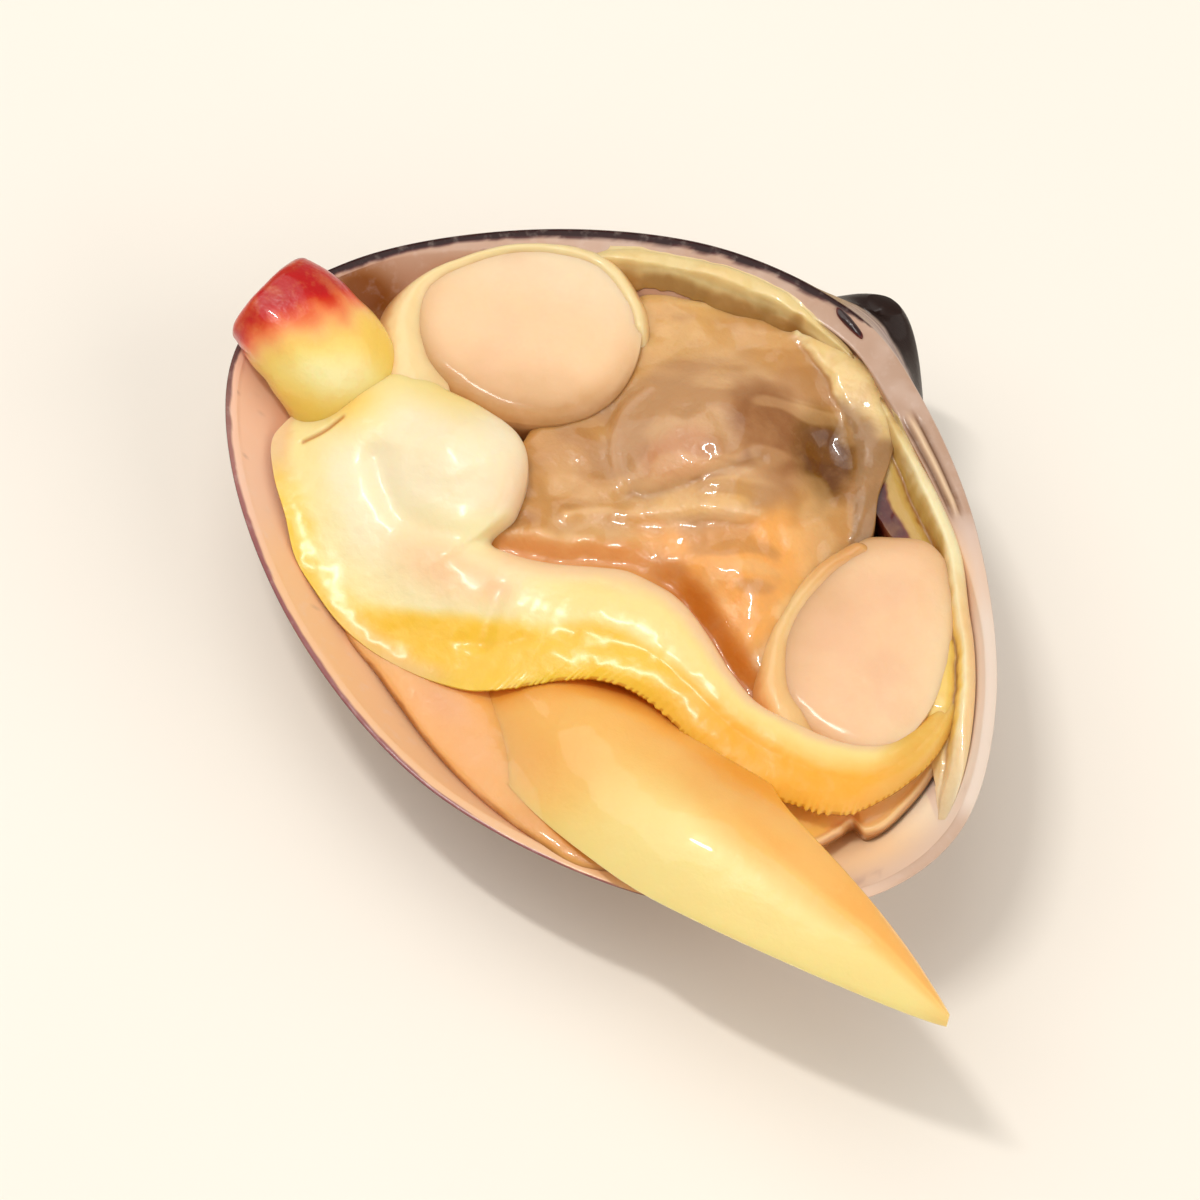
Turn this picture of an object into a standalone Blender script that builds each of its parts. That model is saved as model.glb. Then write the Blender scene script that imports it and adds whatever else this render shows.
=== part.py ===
"""A clam on its half shell: one valve and the meat in it, each organ a closed solid of its own.

All shapes are worked out in millimetres in the rim's frame: the valve's edge lies in z = 0, +X runs
from the siphon end to the other, and +Y runs from the opening side to the hinge. One empty then tips the
whole clam the little that it leans when it lies on its rounded outside.
"""

import math

import bmesh
import bpy
import numpy as np
from mathutils import Matrix, Vector
from mathutils.bvhtree import BVHTree

MM = 0.001
GAP = 0.3                     # kept between organs that touch
CLEAR = 0.45                  # kept by all of them to the valve, whose facets stand a little proud
SEAT = 0.8                    # kept between an organ's underside and the valve
BURY = 0.8                    # how far an underside may dip before the valve trims it

# Valve
RIM = [(40.0, -5.0), (35.5, 8.0), (25.0, 20.5), (13.0, 29.0), (3.0, 32.5), (-11.0, 30.5), (-25.0, 22.5),
       (-36.0, 11.0), (-39.5, -1.0), (-32.0, -12.5), (-17.0, -22.5), (1.0, -27.5), (21.0, -25.0), (35.0, -16.5)]
UMBO = (5.4, 33.6, -0.2)      # the point that every growth line coils in to
COIL = 0.9                    # turn in radians for each e-fold of growth
LEAN = 0.25                   # shift towards the opening side for each millimetre of depth
RIM_WIDTH = 1.1
RIM_CREST = 0.15
HINGE_WIDTH = 1.7             # added to the rim's width under the umbo
HINGE_FROM, HINGE_TO = 12.0, 30.0
UMBO_STEP = 0.05              # smallest growth line, as a share of the rim
INNER_STEP = 0.25             # where the hollow ends under the umbo
HOLLOW_MIDDLE = (2.0, 6.0)
BLOCK_MARGIN = 1.5
BLOCK_BASE = -26.0            # underside of the block that trims the organs to the valve's inside
RIM_POINTS = 40
FINE_RIM = 280                # points on the rim where a narrow piece follows it
OUTER_LINES, INNER_LINES = 13, 8

# How it lies
TILT = math.radians(6.0)      # opening side down
TILT_AXIS = math.radians(-20.0)
REST_FLAT = 0.5               # depth of the flat worn on the lowest point

# Muscles that held the valves shut: centre, half-axes, turn and height of the cut face
POSTERIOR = {"centre": (-18.8, 14.2), "axes": (9.3, 8.2), "turn": 20.0, "top": 0.4, "crown": 0.9}
ANTERIOR = {"centre": (22.8, 6.9), "axes": (7.6, 9.1), "turn": 22.0, "top": -0.4, "crown": 1.1}


def closed_curve(points, count):
    """Samples a closed Catmull-Rom curve through the points, evenly in its parameter."""
    p = np.array(points, float)
    u = np.arange(count) * len(p) / count
    return spline(p, u, lambda i: i % len(p))


def open_curve(points, count):
    """Samples a Catmull-Rom curve from the first point to the last."""
    p = np.array(points, float)
    u = np.linspace(0, len(p) - 1, count)
    return spline(p, u, lambda i: np.clip(i, 0, len(p) - 1))


def spline(p, u, wrap):
    i = np.minimum(np.floor(u).astype(int), len(p) - 1)
    f = (u - i)[:, None]
    a, b, c, d = p[wrap(i - 1)], p[wrap(i)], p[wrap(i + 1)], p[wrap(i + 2)]
    return b + 0.5 * f * (c - a + f * (2 * a - 5 * b + 4 * c - d + f * (3 * (b - c) + d - a)))


def smoothstep(low, high, x):
    f = np.clip((x - low) / (high - low), 0, 1)
    return f * f * (3 - 2 * f)


def hump(x, y, centre, radius):
    """1 at the centre, falling smoothly to 0 over the radius (one number, or one for x and one for y)."""
    rx, ry = radius if isinstance(radius, tuple) else (radius, radius)
    d = ((x - centre[0]) / rx) ** 2 + ((y - centre[1]) / ry) ** 2
    return np.exp(-1.5 * d)


def inset(outline, distance):
    """Moves each point of a counter-clockwise outline inwards, square to the outline."""
    along = np.roll(outline, -1, 0) - np.roll(outline, 1, 0)
    along /= np.linalg.norm(along, axis=1)[:, None]
    inward = np.stack([-along[:, 1], along[:, 0]], 1)
    return outline + inward * np.reshape(distance, (-1, 1))


def with_height(flat, z):
    return np.column_stack([flat, np.broadcast_to(z, len(flat))])


# Meshes and cuts

def loft(name, rings):
    """A closed mesh through the rings, each end closed by a fan about its middle."""
    rings = np.asarray(rings, float)
    rows, around = rings.shape[:2]
    verts = np.vstack([rings.reshape(-1, 3), rings[0].mean(0), rings[-1].mean(0)])
    faces = []
    for row in range(rows - 1):
        for k in range(around):
            nxt = (k + 1) % around
            faces.append((row * around + k, row * around + nxt, (row + 1) * around + nxt, (row + 1) * around + k))
    first, last = rows * around, rows * around + 1
    end = (rows - 1) * around
    for k in range(around):
        nxt = (k + 1) % around
        faces.append((nxt, k, first))
        faces.append((end + k, end + nxt, last))
    mesh = bpy.data.meshes.new(name)
    mesh.from_pydata([Vector(v) * MM for v in verts], [], faces)
    tidy(mesh)
    return mesh


def tidy(mesh):
    """Triangles, facing out, without slivers or loose crumbs."""
    bm = bmesh.new()
    bm.from_mesh(mesh)
    bmesh.ops.remove_doubles(bm, verts=bm.verts, dist=0.02 * MM)
    bmesh.ops.triangulate(bm, faces=bm.faces)
    keep_largest(bm)
    bmesh.ops.recalc_face_normals(bm, faces=bm.faces)
    if bm.calc_volume(signed=True) < 0:
        bmesh.ops.reverse_faces(bm, faces=bm.faces)
    bm.to_mesh(mesh)
    bm.free()
    mesh.shade_smooth()
    mesh.set_sharp_from_angle(angle=math.radians(50))


def keep_largest(bm):
    """Deletes all but the island with the greatest volume."""
    left = set(bm.faces)
    islands = []
    while left:
        stack = [left.pop()]
        island = list(stack)
        while stack:
            for edge in stack.pop().edges:
                for face in edge.link_faces:
                    if face in left:
                        left.remove(face)
                        stack.append(face)
                        island.append(face)
        islands.append(island)
    islands.sort(key=island_volume, reverse=True)
    for island in islands[1:]:
        bmesh.ops.delete(bm, geom=island, context="FACES")


def island_volume(island):
    total = 0.0
    for face in island:
        a, b, c = [v.co for v in face.verts]
        total += a.dot(b.cross(c)) / 6
    return abs(total)


def grown(mesh, distance):
    """A copy pushed out by the distance along its normals, to cut a neighbour with."""
    copy = mesh.copy()
    for vert, normal in zip(copy.vertices, [v.normal.copy() for v in mesh.vertices]):
        vert.co += normal * distance * MM
    return copy


def cut(mesh, block, cutters=()):
    """The mesh less the block, and less each cutter grown by the gap."""
    target = bpy.data.objects.new("cut", mesh)
    bpy.context.collection.objects.link(target)
    helpers = []
    for cutter in [block] + [grown(each, GAP) for each in cutters]:
        helper = bpy.data.objects.new("cutter", cutter)
        helper.hide_render = True
        helper.display_type = "WIRE"
        bpy.context.collection.objects.link(helper)
        modifier = target.modifiers.new("cut", "BOOLEAN")
        modifier.operation = "DIFFERENCE"
        modifier.solver = "EXACT"
        modifier.object = helper
        helpers.append(helper)
    bpy.context.view_layer.update()
    result = bpy.data.meshes.new_from_object(target.evaluated_get(bpy.context.evaluated_depsgraph_get()))
    for each in helpers + [target]:
        bpy.data.objects.remove(each)
    tidy(result)
    return result


# Valve

def growth_line(outline, hub, share):
    """One growth line: the outline shrunk to its share about the hub and turned by the coil's angle."""
    turn = COIL * math.log(1 / share)
    across = outline[:, 0] - hub[0]
    down = outline[:, 1] - hub[1]
    z = hub[2] * (1 - share) + share * down * math.sin(turn)
    y = hub[1] + share * down * math.cos(turn) + LEAN * z
    return np.column_stack([hub[0] + share * across, y, z])


def valve_outlines(count=RIM_POINTS):
    """The rim's outer edge, its inner edge and the line of its crest."""
    outer = closed_curve(RIM, count)
    width = RIM_WIDTH + HINGE_WIDTH * smoothstep(HINGE_FROM, HINGE_TO, outer[:, 1])
    return outer, inset(outer, width), inset(outer, 0.4 * width)


def valve_rings():
    outer, inner, crest = valve_outlines()
    inner_hub = (UMBO[0], inner[:, 1].max() + 0.2, UMBO[2])
    shares_out = UMBO_STEP + (1 - UMBO_STEP) * (np.arange(OUTER_LINES + 1) / OUTER_LINES) ** 1.25
    shares_in = np.linspace(1, INNER_STEP, INNER_LINES)
    rings = [growth_line(outer, UMBO, share) for share in shares_out]
    rings.append(with_height(crest, RIM_CREST))
    hollow = [growth_line(inner, inner_hub, share) for share in shares_in]
    return rings + hollow, hollow


def lying_matrix():
    return Matrix.Rotation(TILT, 4, Vector((math.cos(TILT_AXIS), math.sin(TILT_AXIS), 0)))


def valve():
    rings, hollow = valve_rings()
    mesh = loft("valve", rings)
    lying = lying_matrix()
    lowest = min((lying @ v.co).z for v in mesh.vertices)
    upright = lying.inverted().to_3x3()
    bm = bmesh.new()
    bm.from_mesh(mesh)
    geometry = bm.verts[:] + bm.edges[:] + bm.faces[:]
    bmesh.ops.bisect_plane(
        bm, geom=geometry, plane_co=upright @ Vector((0, 0, lowest + REST_FLAT * MM)),
        plane_no=upright @ Vector((0, 0, -1)), clear_outer=True)
    bmesh.ops.holes_fill(bm, edges=[e for e in bm.edges if e.is_boundary], sides=0)
    bm.to_mesh(mesh)
    bm.free()
    tidy(mesh)
    return mesh, hollow


class Floor:
    """The valve's inside as a height under any point, for the undersides of the organs."""

    def __init__(self, hollow):
        self.tree = BVHTree.FromPolygons(*self.surface(hollow))

    @staticmethod
    def surface(hollow):
        around = len(hollow[0])
        verts = [Vector(p) for ring in hollow for p in ring] + [Vector(hollow[-1].mean(0))]
        end, last = (len(hollow) - 1) * around, len(hollow) * around
        faces = [(end + k, end + (k + 1) % around, last) for k in range(around)]
        for row in range(len(hollow) - 1):
            for k in range(around):
                nxt = (k + 1) % around
                faces.append((row * around + k, row * around + nxt, (row + 1) * around + nxt, (row + 1) * around + k))
        return verts, faces

    def under(self, x, y):
        heights = []
        for px, py in zip(np.ravel(x), np.ravel(y)):
            hit = self.tree.ray_cast(Vector((px, py, 1.0)), Vector((0, 0, -1)))[0]
            heights.append(hit.z if hit else 0.0)
        return np.reshape(heights, np.shape(x))


def keep_out(floor):
    """A block with the valve's hollow pressed into it, a gap proud of the real one, that trims the organs."""
    outer, inner, crest = valve_outlines()
    middle = np.array(HOLLOW_MIDDLE)
    brim = inset(inner, GAP)
    rings = []
    for share in (0.15, 0.33, 0.5, 0.65, 0.78, 0.88, 0.95, 1.0):
        flat = middle + share * (brim - middle)
        rings.append(with_height(flat, floor.under(flat[:, 0], flat[:, 1]) + CLEAR))
    rings.append(with_height(brim, RIM_CREST + GAP))
    rings.append(with_height(crest, RIM_CREST + GAP))
    skirt = inset(outer, -BLOCK_MARGIN)
    rings.append(with_height(skirt, RIM_CREST))
    rings.append(with_height(skirt, BLOCK_BASE))
    return loft("keep_out", rings)


# Organ shapes

def mound(name, outline, centre, top, floor, rows=7):
    """A cushion over a closed outline: its top from the height function, its underside on the valve."""
    centre = np.array(centre, float)
    rings = []
    for share in np.linspace(1.0 / rows, 1, rows):
        flat = centre + share * (outline - centre)
        rings.append(with_height(flat, top(flat[:, 0], flat[:, 1], share)))
    for share in (1.0, 0.66, 0.33):
        flat = centre + share * (outline - centre)
        bed = floor.under(flat[:, 0], flat[:, 1]) + SEAT
        rings.append(with_height(flat, np.minimum(bed, top(flat[:, 0], flat[:, 1], share) - BURY)))
    return loft(name, rings)


def band(name, inner, outer, top, under, across=7, bury=BURY):
    """A strip between two edges seen from above. top and under give its heights from (along, over), both
    0 to 1, over the strip from its inner to its outer edge."""
    over = 0.5 - 0.5 * np.cos(np.linspace(0, math.pi, across))
    along = np.linspace(0, 1, len(inner))
    rings = []
    for s, a, b in zip(along, inner, outer):
        flat = a + over[:, None] * (b - a)
        back = a + over[::-1, None] * (b - a)
        upper = top(s, over, flat)
        lower = np.minimum(under(s, over, flat), upper - bury)
        rings.append(np.vstack([with_height(flat, upper), with_height(back, lower[::-1])]))
    return loft(name, rings)


def tube(name, path, widths, heights, mouth, around=16):
    """Oval rings along a path in space, each with its own half-width and half-height. The last is drawn
    in by the mouth's depth."""
    along = np.gradient(path, axis=0)
    along /= np.linalg.norm(along, axis=1)[:, None]
    side = np.cross(along, (0, 0, 1))
    side /= np.linalg.norm(side, axis=1)[:, None]
    up = np.cross(side, along)
    angle = np.linspace(0, 2 * math.pi, around, endpoint=False)[:, None]

    def ring(k, ahead=0.0, scale=1.0):
        middle = path[k] + ahead * along[k]
        return middle + scale * (widths[k] * np.cos(angle) * side[k] + heights[k] * np.sin(angle) * up[k])

    rings = [ring(k) for k in range(len(path))]
    rings += [ring(-1, 0.35, 0.82), ring(-1, 0.1, 0.62), ring(-1, -mouth, 0.4)]
    return loft(name, rings)


def oval(spec, scale=1.0, count=26):
    """A muscle's outline: an ellipse, a little squared, turned about its centre."""
    angle = np.linspace(0, 2 * math.pi, count, endpoint=False)
    turn = math.radians(spec["turn"])
    a, b = spec["axes"]
    x = scale * a * np.sign(np.cos(angle)) * np.abs(np.cos(angle)) ** 0.92
    y = scale * b * np.sign(np.sin(angle)) * np.abs(np.sin(angle)) ** 0.92
    across = x * math.cos(turn) - y * math.sin(turn)
    up = x * math.sin(turn) + y * math.cos(turn)
    return np.column_stack([spec["centre"][0] + across, spec["centre"][1] + up])


def adductor(name, spec, floor):
    def top(x, y, share):
        return spec["top"] + spec["crown"] * (1 - share ** 2) - 0.5 * share ** 10
    return mound(name, oval(spec), spec["centre"], top, floor, rows=5)


def collar(name, spec, start, end, width, rise, floor, stations=12):
    """The thin fringe of mantle that stands round part of a muscle."""
    angle = np.radians(np.linspace(start, end, stations))
    swell = np.sin(np.linspace(0.06, 0.94, stations) * math.pi) ** 0.6
    near = np.column_stack([np.cos(angle), np.sin(angle)])
    turn = math.radians(spec["turn"])
    spin = np.array([[math.cos(turn), math.sin(turn)], [-math.sin(turn), math.cos(turn)]])
    axes = np.array(spec["axes"])
    inner = spec["centre"] + (near * (axes + 0.35)) @ spin
    outer = spec["centre"] + (near * (axes + 0.35 + width * swell[:, None])) @ spin

    def top(s, over, flat):
        return spec["top"] + rise * np.sin(math.pi * over) - 0.5

    def under(s, over, flat):
        return floor.under(flat[:, 0], flat[:, 1]) + SEAT
    return band(name, inner, outer, top, under, across=5)


FOOT = {                      # right edge, left edge, height of the edges, rise above and swell below them
    "stations": [
        (0.5, -12.0, -1.0, -14.5, -7.0, 1.2, 1.0), (6.0, -9.5, 0.0, -18.8, -6.4, 2.6, 2.0),
        (12.0, -8.8, 4.5, -21.6, -5.4, 3.2, 2.2), (18.0, -9.6, 9.5, -23.6, -4.0, 3.6, 2.2),
        (24.5, -11.5, 15.0, -25.0, -1.8, 3.9, 2.0), (30.0, -13.8, 21.0, -25.9, 0.6, 4.0, 1.8),
        (35.0, -15.6, 28.0, -26.0, 1.9, 3.9, 1.7), (39.5, -17.2, 35.0, -25.6, 1.9, 3.5, 1.6),
        (43.5, -18.9, 41.0, -25.0, 1.6, 2.8, 1.3), (47.0, -20.1, 46.0, -23.7, 1.3, 1.9, 1.0),
        (49.5, -21.0, 49.1, -22.6, 1.0, 1.0, 0.7)],
    "keel": 0.36,             # where the ridge runs, from the right edge
}


def foot(stations=20):
    right, left, shape = np.split(open_curve(FOOT["stations"], stations), (2, 4), axis=1)

    def ridge(s, over):
        """Round near the root, sharpening to a keel towards the tip."""
        keel = FOOT["keel"]
        side = np.where(over < keel, over / keel, (1 - over) / (1 - keel))
        sharp = smoothstep(0.35, 0.8, s)
        return (1 - sharp) * np.sqrt(np.clip(1 - (1 - side) ** 2, 0, 1)) + sharp * side ** 0.72

    def at(s):
        return shape[int(round(s * (stations - 1)))]

    def top(s, over, flat):
        height, above, _ = at(s)
        return height + above * ridge(s, over)

    def under(s, over, flat):
        height, _, below = at(s)
        return height - 0.05 - below * np.sqrt(np.clip(1 - (2 * over - 1) ** 2, 0, 1))
    return band("foot", right, left, top, under, across=9, bury=0.3)


MANTLE = {                    # inner edge, outer edge, height of the crown and of the lip
    "stations": [
        (-24.5, 4.5, -31.6, -4.6, 1.6, -0.6), (-22.3, 5.4, -31.6, -7.6, 2.2, -1.2),
        (-19.5, 5.9, -29.8, -10.4, 2.6, -1.8), (-16.0, 5.8, -27.0, -13.0, 2.7, -2.1),
        (-13.2, 5.0, -23.5, -15.4, 2.7, -2.4), (-11.0, 3.0, -20.0, -17.3, 2.4, -2.6), (-10.2, 0.0, -16.8, -18.7, 1.8, -2.5),
        (-10.6, -4.6, -14.0, -19.3, 0.8, -2.4), (-7.6, -5.8, -10.8, -19.5, 0.6, -2.0),
        (-4.0, -5.0, -7.0, -19.0, 0.8, -1.6), (-0.5, -2.8, -3.4, -17.6, 1.2, -1.0),
        (2.5, -0.6, -0.4, -15.4, 1.6, -0.3), (6.5, 0.0, 2.8, -12.3, 1.9, 0.4),
        (10.5, -1.0, 6.2, -10.2, 2.0, 0.9), (14.0, -3.0, 10.5, -9.4, 1.9, 1.0),
        (18.5, -4.8, 16.0, -10.4, 1.5, 0.7), (23.5, -4.4, 22.0, -11.2, 1.0, 0.2),
        (28.0, -2.6, 28.4, -9.8, 0.6, -0.2), (31.0, 0.4, 32.4, -5.4, 0.2, -0.8),
        (32.0, 3.6, 33.7, 0.8, -0.2, -1.2)],
    "thick": 3.4,
}


def mantle_edge(floor, stations=35):
    inner, outer, shape = np.split(open_curve(MANTLE["stations"], stations), (2, 4), axis=1)

    def top(s, over, flat):
        crown, lip = shape[int(round(s * (stations - 1)))]
        back = np.sqrt(np.clip(1 - (1 - over / 0.35).clip(0, 1) ** 2, 0, 1))
        front = smoothstep(0.3, 1.0, over)
        return crown - 1.6 * (1 - back) + (lip - crown) * front - 0.8 * over ** 12

    def under(s, over, flat):
        lip = shape[int(round(s * (stations - 1)))][1]
        bed = floor.under(flat[:, 0], flat[:, 1]) + SEAT
        hung = np.maximum(bed, lip - MANTLE["thick"])
        deep = smoothstep(0.2, 0.65, over)
        return (1 - deep) * np.minimum(bed, lip - MANTLE["thick"]) + deep * hung
    return band("mantle_edge", inner, outer, top, under, across=9)


LINING = {
    "inner": [(-18.0, -13.5), (-11.0, -15.0), (-4.0, -13.5), (2.0, -9.5), (9.0, -7.0), (16.0, -7.6), (23.0, -8.0),
              (28.5, -5.4), (30.6, -0.5), (31.0, 4.5)],
    "outer": [(-20.0, -17.2), (-13.0, -20.0), (-5.0, -22.8), (3.0, -24.4), (11.0, -24.6), (18.5, -22.6), (25.0, -18.0),
              (30.2, -12.0), (34.0, -5.5), (34.2, 3.0)],
    "thick": 1.3,
}


def mantle_lining(floor, stations=20):
    inner = open_curve(LINING["inner"], stations)
    outer = open_curve(LINING["outer"], stations)

    def top(s, over, flat):
        bed = floor.under(flat[:, 0], flat[:, 1]) + SEAT
        return bed + LINING["thick"] - 0.35 * over ** 6

    def under(s, over, flat):
        return floor.under(flat[:, 0], flat[:, 1]) + SEAT
    return band("mantle_lining", inner, outer, top, under, across=6)


SIPHON = {
    "path": [(-24.5, -1.6, -0.6), (-27.5, -0.8, 0.6), (-30.5, 0.1, 1.6), (-33.5, 1.1, 2.4), (-36.2, 2.0, 3.0),
             (-38.6, 2.8, 3.4)],
    "width": [4.0, 5.4, 5.9, 5.9, 5.5, 4.8],
    "height": [2.8, 3.8, 4.3, 4.3, 4.0, 3.4],
    "mouth": 1.4,             # how deep the end is drawn in
}


def siphon(stations=9):
    path = open_curve(SIPHON["path"], stations)
    sizes = open_curve(list(zip(SIPHON["width"], SIPHON["height"])), stations)
    return tube("siphon", path, sizes[:, 0], sizes[:, 1], SIPHON["mouth"])


STRIP = {                     # along the rim, past the umbo, in control points of RIM
    "from": 5.5,
    "to": 0.9,
    "crown": (0.4, -0.2),     # at the siphon's end and at the other
    "clear": 0.6,             # from the rim's inner edge
    "width": (2.2, 1.5),      # at the ends and under the umbo
}


def mantle_strip(floor, stations=24):
    """The narrow band of mantle that lines the valve just inside the rim."""
    _, edge, _ = valve_outlines(FINE_RIM)
    along = np.linspace(0, 1, stations)
    share = (STRIP["from"] + along * (STRIP["to"] - STRIP["from"])) / len(RIM)
    pick = np.round(share * FINE_RIM).astype(int)
    wide, narrow = STRIP["width"]
    width = np.zeros(FINE_RIM)
    width[pick] = wide + (narrow - wide) * np.sin(math.pi * along) ** 2
    outer = inset(edge, STRIP["clear"])[pick]
    inner = inset(edge, STRIP["clear"] + width)[pick]

    def top(s, over, flat):
        first, last = STRIP["crown"]
        ends = np.sin(math.pi * np.clip(s, 0.04, 0.96)) ** 0.25
        return first + (last - first) * s - 0.9 + 0.9 * ends * np.sin(math.pi * (0.15 + 0.7 * over))

    def under(s, over, flat):
        return floor.under(flat[:, 0], flat[:, 1]) + SEAT
    return band("mantle_strip", inner, outer, top, under, across=5, bury=0.5)


BODY = {
    "outline": [(-10.5, -4.5), (-3.0, -6.5), (5.0, -4.0), (12.0, -6.0), (18.0, -6.5), (20.0, 2.0), (19.0, 14.0),
                (17.4, 19.4), (14.9, 23.6), (9.2, 28.0), (3.6, 29.6), (-1.6, 28.8), (-7.0, 26.2), (-13.0, 24.5),
                (-15.0, 18.0), (-14.0, 10.0), (-13.0, 2.0)],
    "middle": (2.0, 11.0),
}


def body_height(x, y):
    """The top of the meat: a low bed, a dome over the stomach and hollows along the mantle and the hinge."""
    bed = -0.9 - 0.02 * (y - 12.0)
    dome = 3.2 * hump(x, y, (0.2, 13.6), (8.4, 8.0))
    shoulder = 1.3 * hump(x, y, (10.5, 12.0), (7.0, 8.0))
    crease = -1.8 * hump(x, y, (11.0, 1.0), (9.0, 3.2))
    hollow = -1.2 * hump(x, y, (12.0, 21.0), (4.0, 4.0))
    return bed + dome + shoulder + crease + hollow


def visceral_mass(floor):
    def top(x, y, share):
        return body_height(x, y) - 1.0 * share ** 8
    outline = closed_curve(BODY["outline"], 34)
    return mound("visceral_mass", outline, BODY["middle"], top, floor, rows=8)


LIGAMENT = {"centre": (3.9, 30.9), "axes": (1.8, 0.75), "turn": -32.0}


def ligament():
    """The small dark pad that springs the valves open, standing on the hinge shelf."""
    rings = []
    for share, z in ((0.4, 1.05), (0.8, 0.95), (1.0, 0.7), (1.0, 0.45), (0.5, 0.42)):
        rings.append(with_height(oval(LIGAMENT, share, 12), z))
    return loft("ligament", rings)


# Looks, kept plain here

LOOKS = {
    "valve": ((0.62, 0.46, 0.42), 0.35),
    "ligament": ((0.07, 0.02, 0.01), 0.5),
    "posterior_adductor": ((0.90, 0.66, 0.46), 0.3),
    "anterior_adductor": ((0.86, 0.58, 0.40), 0.3),
    "posterior_collar": ((0.90, 0.70, 0.42), 0.3),
    "anterior_collar": ((0.85, 0.58, 0.34), 0.3),
    "visceral_mass": ((0.52, 0.32, 0.17), 0.3),
    "mantle_edge": ((0.95, 0.66, 0.24), 0.3),
    "mantle_lining": ((0.82, 0.42, 0.20), 0.3),
    "mantle_strip": ((0.85, 0.66, 0.25), 0.3),
    "siphon": ((0.85, 0.28, 0.10), 0.3),
    "foot": ((0.95, 0.58, 0.24), 0.3),
}


def add_part(name, mesh, parent):
    mesh.name = name
    obj = bpy.data.objects.new(name, mesh)
    bpy.context.collection.objects.link(obj)
    obj.parent = parent
    colour, roughness = LOOKS[name]
    material = bpy.data.materials.new(name)
    material.use_nodes = True
    shader = material.node_tree.nodes["Principled BSDF"]
    shader.inputs["Base Color"].default_value = (*colour, 1)
    shader.inputs["Roughness"].default_value = roughness
    shader.inputs["Metallic"].default_value = 0.0
    mesh.materials.clear()
    mesh.materials.append(material)
    return obj


def lay_down(objects, rest):
    """Tips the clam as it lies and sets it on z = 0 over the middle of its own box."""
    rest.matrix_world = lying_matrix()
    lying = lying_matrix()
    corners = np.array([lying @ v.co for obj in objects for v in obj.data.vertices])
    low, high = corners.min(0), corners.max(0)
    rest.matrix_world = Matrix.Translation((-(low[0] + high[0]) / 2, -(low[1] + high[1]) / 2, -low[2])) @ lying


def organs(floor):
    """Every organ in full, before it gives way to those above it in this list."""
    return {
        "ligament": ligament(),
        "mantle_strip": mantle_strip(floor),
        "posterior_adductor": adductor("posterior_adductor", POSTERIOR, floor),
        "anterior_adductor": adductor("anterior_adductor", ANTERIOR, floor),
        "siphon": siphon(),
        "foot": foot(),
        "mantle_edge": mantle_edge(floor),
        "mantle_lining": mantle_lining(floor),
        "posterior_collar": collar("posterior_collar", POSTERIOR, 55.0, 215.0, 2.6, 1.0, floor),
        "anterior_collar": collar("anterior_collar", ANTERIOR, 105.0, 245.0, 1.7, 0.9, floor),
        "visceral_mass": visceral_mass(floor),
    }


def main():
    for obj in list(bpy.data.objects):
        bpy.data.objects.remove(obj)
    shell, hollow = valve()
    floor = Floor(hollow)
    block = keep_out(floor)
    whole = organs(floor)
    parts = {"valve": shell}
    for k, (name, mesh) in enumerate(whole.items()):
        parts[name] = cut(mesh.copy(), block, list(whole.values())[:k])
    rest = bpy.data.objects.new("rest", None)
    bpy.context.collection.objects.link(rest)
    objects = [add_part(name, mesh, rest) for name, mesh in parts.items()]
    lay_down(objects, rest)
    print("triangles", {obj.name: len(obj.data.polygons) for obj in objects})


main()
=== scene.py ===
import math

import bpy
import numpy as np
from mathutils import Matrix, Vector


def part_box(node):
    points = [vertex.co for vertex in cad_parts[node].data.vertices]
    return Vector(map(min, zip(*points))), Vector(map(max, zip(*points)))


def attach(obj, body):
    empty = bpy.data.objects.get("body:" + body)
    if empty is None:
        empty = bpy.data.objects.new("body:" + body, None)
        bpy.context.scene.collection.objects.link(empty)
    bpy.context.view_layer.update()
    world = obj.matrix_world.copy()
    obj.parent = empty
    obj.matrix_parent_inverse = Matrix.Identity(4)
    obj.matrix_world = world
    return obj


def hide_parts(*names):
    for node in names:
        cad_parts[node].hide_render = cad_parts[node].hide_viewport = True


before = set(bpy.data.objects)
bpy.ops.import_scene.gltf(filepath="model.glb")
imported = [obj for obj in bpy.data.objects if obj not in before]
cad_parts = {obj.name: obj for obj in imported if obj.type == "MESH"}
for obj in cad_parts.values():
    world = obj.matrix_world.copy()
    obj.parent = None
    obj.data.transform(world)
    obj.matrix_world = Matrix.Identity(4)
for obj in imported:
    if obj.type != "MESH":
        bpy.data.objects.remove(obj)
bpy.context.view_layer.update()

# A clam opened on its half shell. Shapes are worked out in millimetres in the rim's frame: the shell's
# edge lies in z = 0, +x runs from the siphon to the other end and +y from the opening side to the hinge.
# placePoints then tips them as the clam lies and moves them to where the frame has its valve.

mm = 0.001


# Curves, fields and noise

def closedCurve(points, count):
    # Catmull-Rom through the points, u = 0 ... len(points), last joined to first
    p = np.array(points, float)
    return throughPoints(p, np.arange(count) * len(p) / count, lambda i: i % len(p))


def openCurve(points, count):
    # Catmull-Rom from the first point to the last, evenly in its parameter
    p = np.array(points, float)
    return throughPoints(p, np.linspace(0, len(p) - 1, count), lambda i: np.clip(i, 0, len(p) - 1))


def throughPoints(p, u, wrap):
    # b + f/2 (c - a + f (2a - 5b + 4c - d + f (3(b - c) + d - a))) between b and c
    i = np.minimum(np.floor(u).astype(int), len(p) - 1)
    f = (u - i)[:, None]
    a, b, c, d = p[wrap(i - 1)], p[wrap(i)], p[wrap(i + 1)], p[wrap(i + 2)]
    return b + 0.5 * f * (c - a + f * (2 * a - 5 * b + 4 * c - d + f * (3 * (b - c) + d - a)))


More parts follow.
